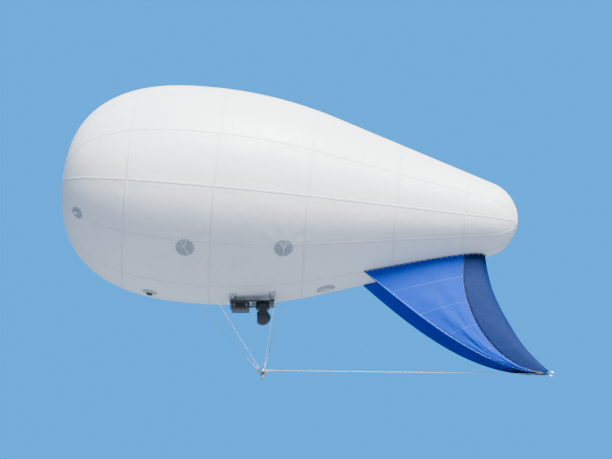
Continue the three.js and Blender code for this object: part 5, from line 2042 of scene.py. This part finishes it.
# %% Make the equipment box
case = Parts()
case.plate(rounded(BOX_FRONT, BOX_REAR, BOX_HALF, BOX_CORNER, 9), BOX_TALL,
           Matrix.Translation((0, 0, BOX_TOP - BOX_TALL / 2)))
case.plate(rounded(BOX_FRONT + BOX_RIM, BOX_REAR - BOX_RIM, BOX_HALF + BOX_RIM, BOX_CORNER, 9), BOX_LIP,
           Matrix.Translation((0, 0, BOX_TOP - BOX_LIP / 2)))
keep(case.piece("equipment_case", CASE, 0.0025), "equipment_box")

plates = Parts()
BOX_MIDDLE = (BOX_FRONT + BOX_REAR) / 2
plates.plate(rounded(0.140, -0.140, 0.110, 0.012), 0.0036,
             Matrix.Translation((BOX_MIDDLE, 0, BOX_BOTTOM - 0.0012)))
for y in (-0.128, 0.128):
    rib = Matrix.Translation((BOX_MIDDLE, y, BOX_BOTTOM - 0.0005)) @ Matrix.Rotation(math.pi / 2, 4, "Y")
    plates.plate(arc(0.005, 90, 270, 9), 0.26, rib @ Matrix.Rotation(math.pi, 4, "Z"))
keep(plates.piece("equipment_box_plates", CASE, 0.0006))

# %% Screws of the box
rim_y = BOX_HALF + BOX_RIM / 2
rim_ends = (BOX_FRONT + BOX_RIM / 2, BOX_REAR - BOX_RIM / 2)
places = [(x, side * rim_y, BOX_TOP - BOX_LIP) for side in (-1, 1) for x in np.linspace(-0.19, 0.16, 7)]
places += [(x, y, BOX_TOP - BOX_LIP) for x in rim_ends for y in np.linspace(-0.13, 0.13, 5)]
places += [(BOX_MIDDLE + x, y, BOX_BOTTOM - 0.003) for x in (-0.125, 0, 0.125) for y in (-0.095, 0.095)]
keep(scatter("equipment_box_screws", screw("case_screw"), places, DOWN, FORWARD))

# %% [markdown]
# ## The camera turret
# The turret hangs behind the box. Its base is clamped to the frame, the head pans below it, and the
# ball tilts between the head's two arms. Base and head are bevelled copies of their solids. The
# ball's solid would show its corners, so the ball is turned again with finer steps, and then cut
# flat and bored for its windows.

# %% Turret base
BASE_BOTTOM, BASE_RADIUS = -2.5013, 0.130
keep(machined("turret_base", "turret_foot", COATED, 0.0025), "turret_base")

clamps, screws = Parts(), []
under_frame = Matrix.Translation((TURRET_X, 0, FRAME_BOTTOM - 0.006))
for turn in turns(8, 0.5):
    toe = spoke(under_frame, turn, BASE_RADIUS + 0.010)
    clamps.plate([(-0.014, -0.014), (0.006, -0.014), *arc(0.014, -60, 60, 7, (0.002, 0)),
                  (0.006, 0.014), (-0.014, 0.014)], 0.010, toe)
    screws.append(toe @ Vector((0.005, 0, -0.005)))
keep(clamps.piece("turret_base_clamps", COATED, 0.001))
keep(scatter("turret_base_screws", screw("clamp_screw", 0.005, 0.005), screws, DOWN, FORWARD))

connectors, caps = Parts(), Parts()
for y in (-0.04, 0.04):
    angle = math.atan2(y, BASE_RADIUS)
    way = Vector((math.cos(angle), math.sin(angle), 0))
    foot = Vector((TURRET_X, 0, BASE_BOTTOM + 0.021)) + way * BASE_RADIUS
    connector(connectors, caps, axes(foot, way, (0, 0, 1)), 0.009)
keep(connectors.piece("turret_base_connectors", STEEL, 0.0004))
keep(caps.piece("turret_base_dust_caps", DARK_PLASTIC, 0.0004))

# %% Turret head
HEAD_TOP, HEAD_RADIUS = -2.5073, 0.150
BALL = Vector((TURRET_X, 0.0, -2.7553))
ARM_OUT = 0.210
HATCH_CORNERS = wedge(-0.030, 0.030, 0.042)
keep(machined("turret_head", "turret_yoke", COATED, 0.003), "turret_head", body="pan_head")


def on_arm(side, forward, rise):
    """A place on the outer face of one of the head's arms."""
    return axes((TURRET_X + forward, side * ARM_OUT, BALL.z + rise), (0, side, 0))


covers = Parts()
places, ways, along = [], [], []
for side in (-1, 1):
    hub = on_arm(side, 0, 0)
    covers.turned([(0, 0.0003), (0.056, 0.0003), (0.056, 0.003), (0.050, 0.0045), (0.022, 0.0052),
                   (0.020, 0.0035), (0, 0.0035)], hub, 56)
    points, out, way = round_of(hub, 0.047, 8, 0.0046)
    hatch = on_arm(side, 0, 0.125)
    lid = rounded(0.050, -0.050, 0.038, 0.008)
    covers.plate(lid, 0.0032, hatch @ Matrix.Translation((0, 0, 0.0014)))
    places += points + [hatch @ Vector((x, y, 0.003)) for x, y in HATCH_CORNERS]
    ways += out + [(0, side, 0)] * len(HATCH_CORNERS)
    along += way + [FORWARD] * len(HATCH_CORNERS)
    for i in range(7):
        fin_place = on_arm(side, -0.0375 + i * 0.0125, 0.073)
        covers.plate(wedge(-0.008, 0.008, 0.0015), 0.007, fin_place)
covers.ring(band(HEAD_RADIUS - 0.003, HEAD_RADIUS + 0.0022, 0.004, 0.0032),
            Matrix.Translation((TURRET_X, 0, HEAD_TOP - 0.018)), 72)
keep(covers.piece("turret_head_covers", COATED, 0.0006), body="pan_head")

for angle in turns(16, 0.5):
    way = Vector((math.cos(angle), math.sin(angle), 0))
    places.append(Vector((TURRET_X, 0, HEAD_TOP - 0.034)) + way * (HEAD_RADIUS - 0.0008))
    ways.append(way)
    along.append((0, 0, 1))
head_screws = scatter("turret_head_screws", screw("head_screw", 0.0035, 0.003), places, ways, along)
keep(head_screws, body="pan_head")

# %% Turret ball
BALL_RADIUS, BALL_FACE = 0.170, 0.120
WINDOW_DEPTH = 0.014
WINDOWS = {  # how far each is to port and up, and its radius
    "day_camera": (-0.056, 0.026, 0.052),
    "thermal": (0.058, 0.030, 0.044),
    "rangefinder": (0.0, -0.072, 0.022),
}


def cut_away(body, tool):
    """Takes one body out of another, and removes the tool."""
    cutter = body.modifiers.new("cut", "BOOLEAN")
    cutter.operation = "DIFFERENCE"
    cutter.solver = "EXACT"
    cutter.object = tool
    plain = evaluated(body, body.name)
    bpy.data.objects.remove(tool)
    return plain


def looking_ahead(ahead, to_port=0.0, up=0.0):
    """A place in front of the ball's middle, whose Z looks forward."""
    return axes(BALL + Vector((ahead, to_port, up)), FORWARD, (0, 1, 0))


face = math.degrees(math.asin(BALL_FACE / BALL_RADIUS))
ball, tool = Parts(), Parts()
outline = [(0, -BALL_RADIUS), *arc(BALL_RADIUS, -87, face, 40), (0, BALL_FACE)]
ball.turned(outline, looking_ahead(0), 96)
for y, z, radius in WINDOWS.values():
    tool.turned(drum(radius + 0.0006, BALL_FACE - WINDOW_DEPTH, 0.2), looking_ahead(0, y, z), 48)
body = cut_away(ball.piece("turret_ball_body", COATED), tool.piece("window_bores", COATED))
keep(finished(body, 0.0012), "turret_ball", body="camera_ball")

# %% Trim of the ball
SEAM_AT = 0.118  # from the middle of the ball to its seams
trim = Parts()
places, ways, along = [], [], []
for y, z, radius in WINDOWS.values():
    bezel = looking_ahead(BALL_FACE, y, z)
    wide = min(0.0085, radius * 0.28)
    trim.ring([(radius - 0.0012, -0.0045), (radius + wide, -0.001), (radius + wide, 0.0018),
               (radius + wide - 0.0015, 0.0030), (radius + 0.0010, 0.0030)], bezel, 56)
    points, out, way = round_of(bezel, radius + wide * 0.56, 8 if radius > 0.03 else 4, 0.0026)
    places, ways, along = places + points, ways + out, along + way
rim = math.sqrt(BALL_RADIUS**2 - BALL_FACE**2)
trim.ring([(rim - 0.004, -0.002), (rim + 0.0006, -0.004), (rim + 0.0006, 0.0), (rim - 0.004, 0.0014)],
          looking_ahead(BALL_FACE), 96)
reach = math.sqrt(BALL_RADIUS**2 - SEAM_AT**2)
for side in (-1, 1):
    seam_place = axes(BALL + Vector((0, side * SEAM_AT, 0)), (0, 1, 0))
    trim.ring(band(reach - 0.002, reach + 0.0012, 0.0016, 0.0012), seam_place, 80)
    trim.turned([(0, 0.150), (0.060, 0.150), (0.058, 0.164), (0.030, 0.172), (0.018, 0.176),
                 (0.018, 0.206), (0, 0.206)], axes(BALL, (0, side, 0)), 48)
plug = axes(BALL - Vector((BALL_RADIUS, 0, 0)), (-1, 0, 0), (0, 1, 0))
trim.turned([(0, -0.006), (0.020, -0.006), (0.020, 0.001), (0.017, 0.004), (0.008, 0.004),
             (0.007, 0.001), (0, 0.001)], plug, 32)
keep(trim.piece("turret_ball_trim", COATED, 0.0005), body="camera_ball")
bezel_screws = scatter("turret_ball_screws", screw("bezel_screw", 0.0018, 0.0016), places, ways, along)
keep(bezel_screws, body="camera_ball")

# %% [markdown]
# ## Camera windows
# Behind each pane stands a lens. Clear glass would need a hollow ball with lenses in it, which
# nobody could see from the ground, so the pane's own finish draws it: a dark lens with the coloured
# reflection of its coating painted on, a thin retaining ring, and a grooved black barrel. The rings
# follow the distance from the pane's axis.

# %% Finish the windows
# the colours of the painted reflections of each lens's coating
LENS_COAT_REFLECTIONS = {
    "day_camera": (0.030, 0.012, 0.075),
    "thermal": (0.080, 0.045, 0.020),
    "rangefinder": (0.070, 0.006, 0.010),
}
LENS_SHARE, RING_SHARE = 0.62, 0.70  # of the pane's radius
SOFT_EDGE = 0.015
BARREL_GROOVES = 9


def window_finish(name, centre, radius, coat):
    """Coated glass with a lens drawn about the pane's axis, and the coating's coloured reflection
    painted on it, near black at the middle and in the coat's colour at the lens's rim.
    """
    finish = Finish(f"{name.replace('_', ' ')} glass", "glass", (0.004, 0.004, 0.005), 0.05)
    board = finish.board
    moved = board.out("ShaderNodeMapping", {"Vector": finish.place, "Location": -centre})
    flat = board.out("ShaderNodeVectorMath", {0: moved, 1: (0.0, 1.0, 1.0)}, operation="MULTIPLY")
    distance = board.add("ShaderNodeVectorMath", {0: flat}, operation="LENGTH").outputs["Value"]
    share = board.math("DIVIDE", distance, radius)
    lens = board.ramp(share, LENS_SHARE - SOFT_EDGE, LENS_SHARE, 1.0, 0.0)
    ring = board.math("SUBTRACT", board.ramp(share, RING_SHARE - SOFT_EDGE, RING_SHARE, 1.0, 0.0), lens)
    # painted reflection: the coating's colour, growing from near black at the middle to full at the
    # lens's rim
    glow = board.mix(board.ramp(share, 0.0, LENS_SHARE), (0.002, 0.002, 0.004, 1), (*coat, 1))
    color = board.mix(lens, finish.color, glow)
    finish.put("Base Color", board.mix(ring, color, (0.12, 0.12, 0.13, 1)))
    smear = board.ramp(board.noise(finish.place, 30.0, 4.0), 0.4, 0.7, 0.03, 0.12)
    finish.put("Roughness", board.math("ADD", smear, board.times(ring, 0.3)))
    groove = board.math("SINE", board.times(share, math.tau * BARREL_GROOVES))
    beyond = board.ramp(share, RING_SHARE, RING_SHARE + 0.01)
    finish.bump(board.math("ADD", board.times(groove, beyond), ring), 0.0006)
    finish.put("Coat Weight", 1.0)
    finish.put("Coat Roughness", 0.03)
    finish.put("Coat Tint", (0.55, 0.62, 1.0, 1))
    return finish.material


for name, (y, z, radius) in WINDOWS.items():
    pane = frame["nodes"][f"{name}_window"]
    pane.data.materials.clear()
    pane.data.materials.append(window_finish(name, BALL + Vector((0, y, z)), radius, LENS_COAT_REFLECTIONS[name]))
print(f"{len(WINDOWS)} windows finished")
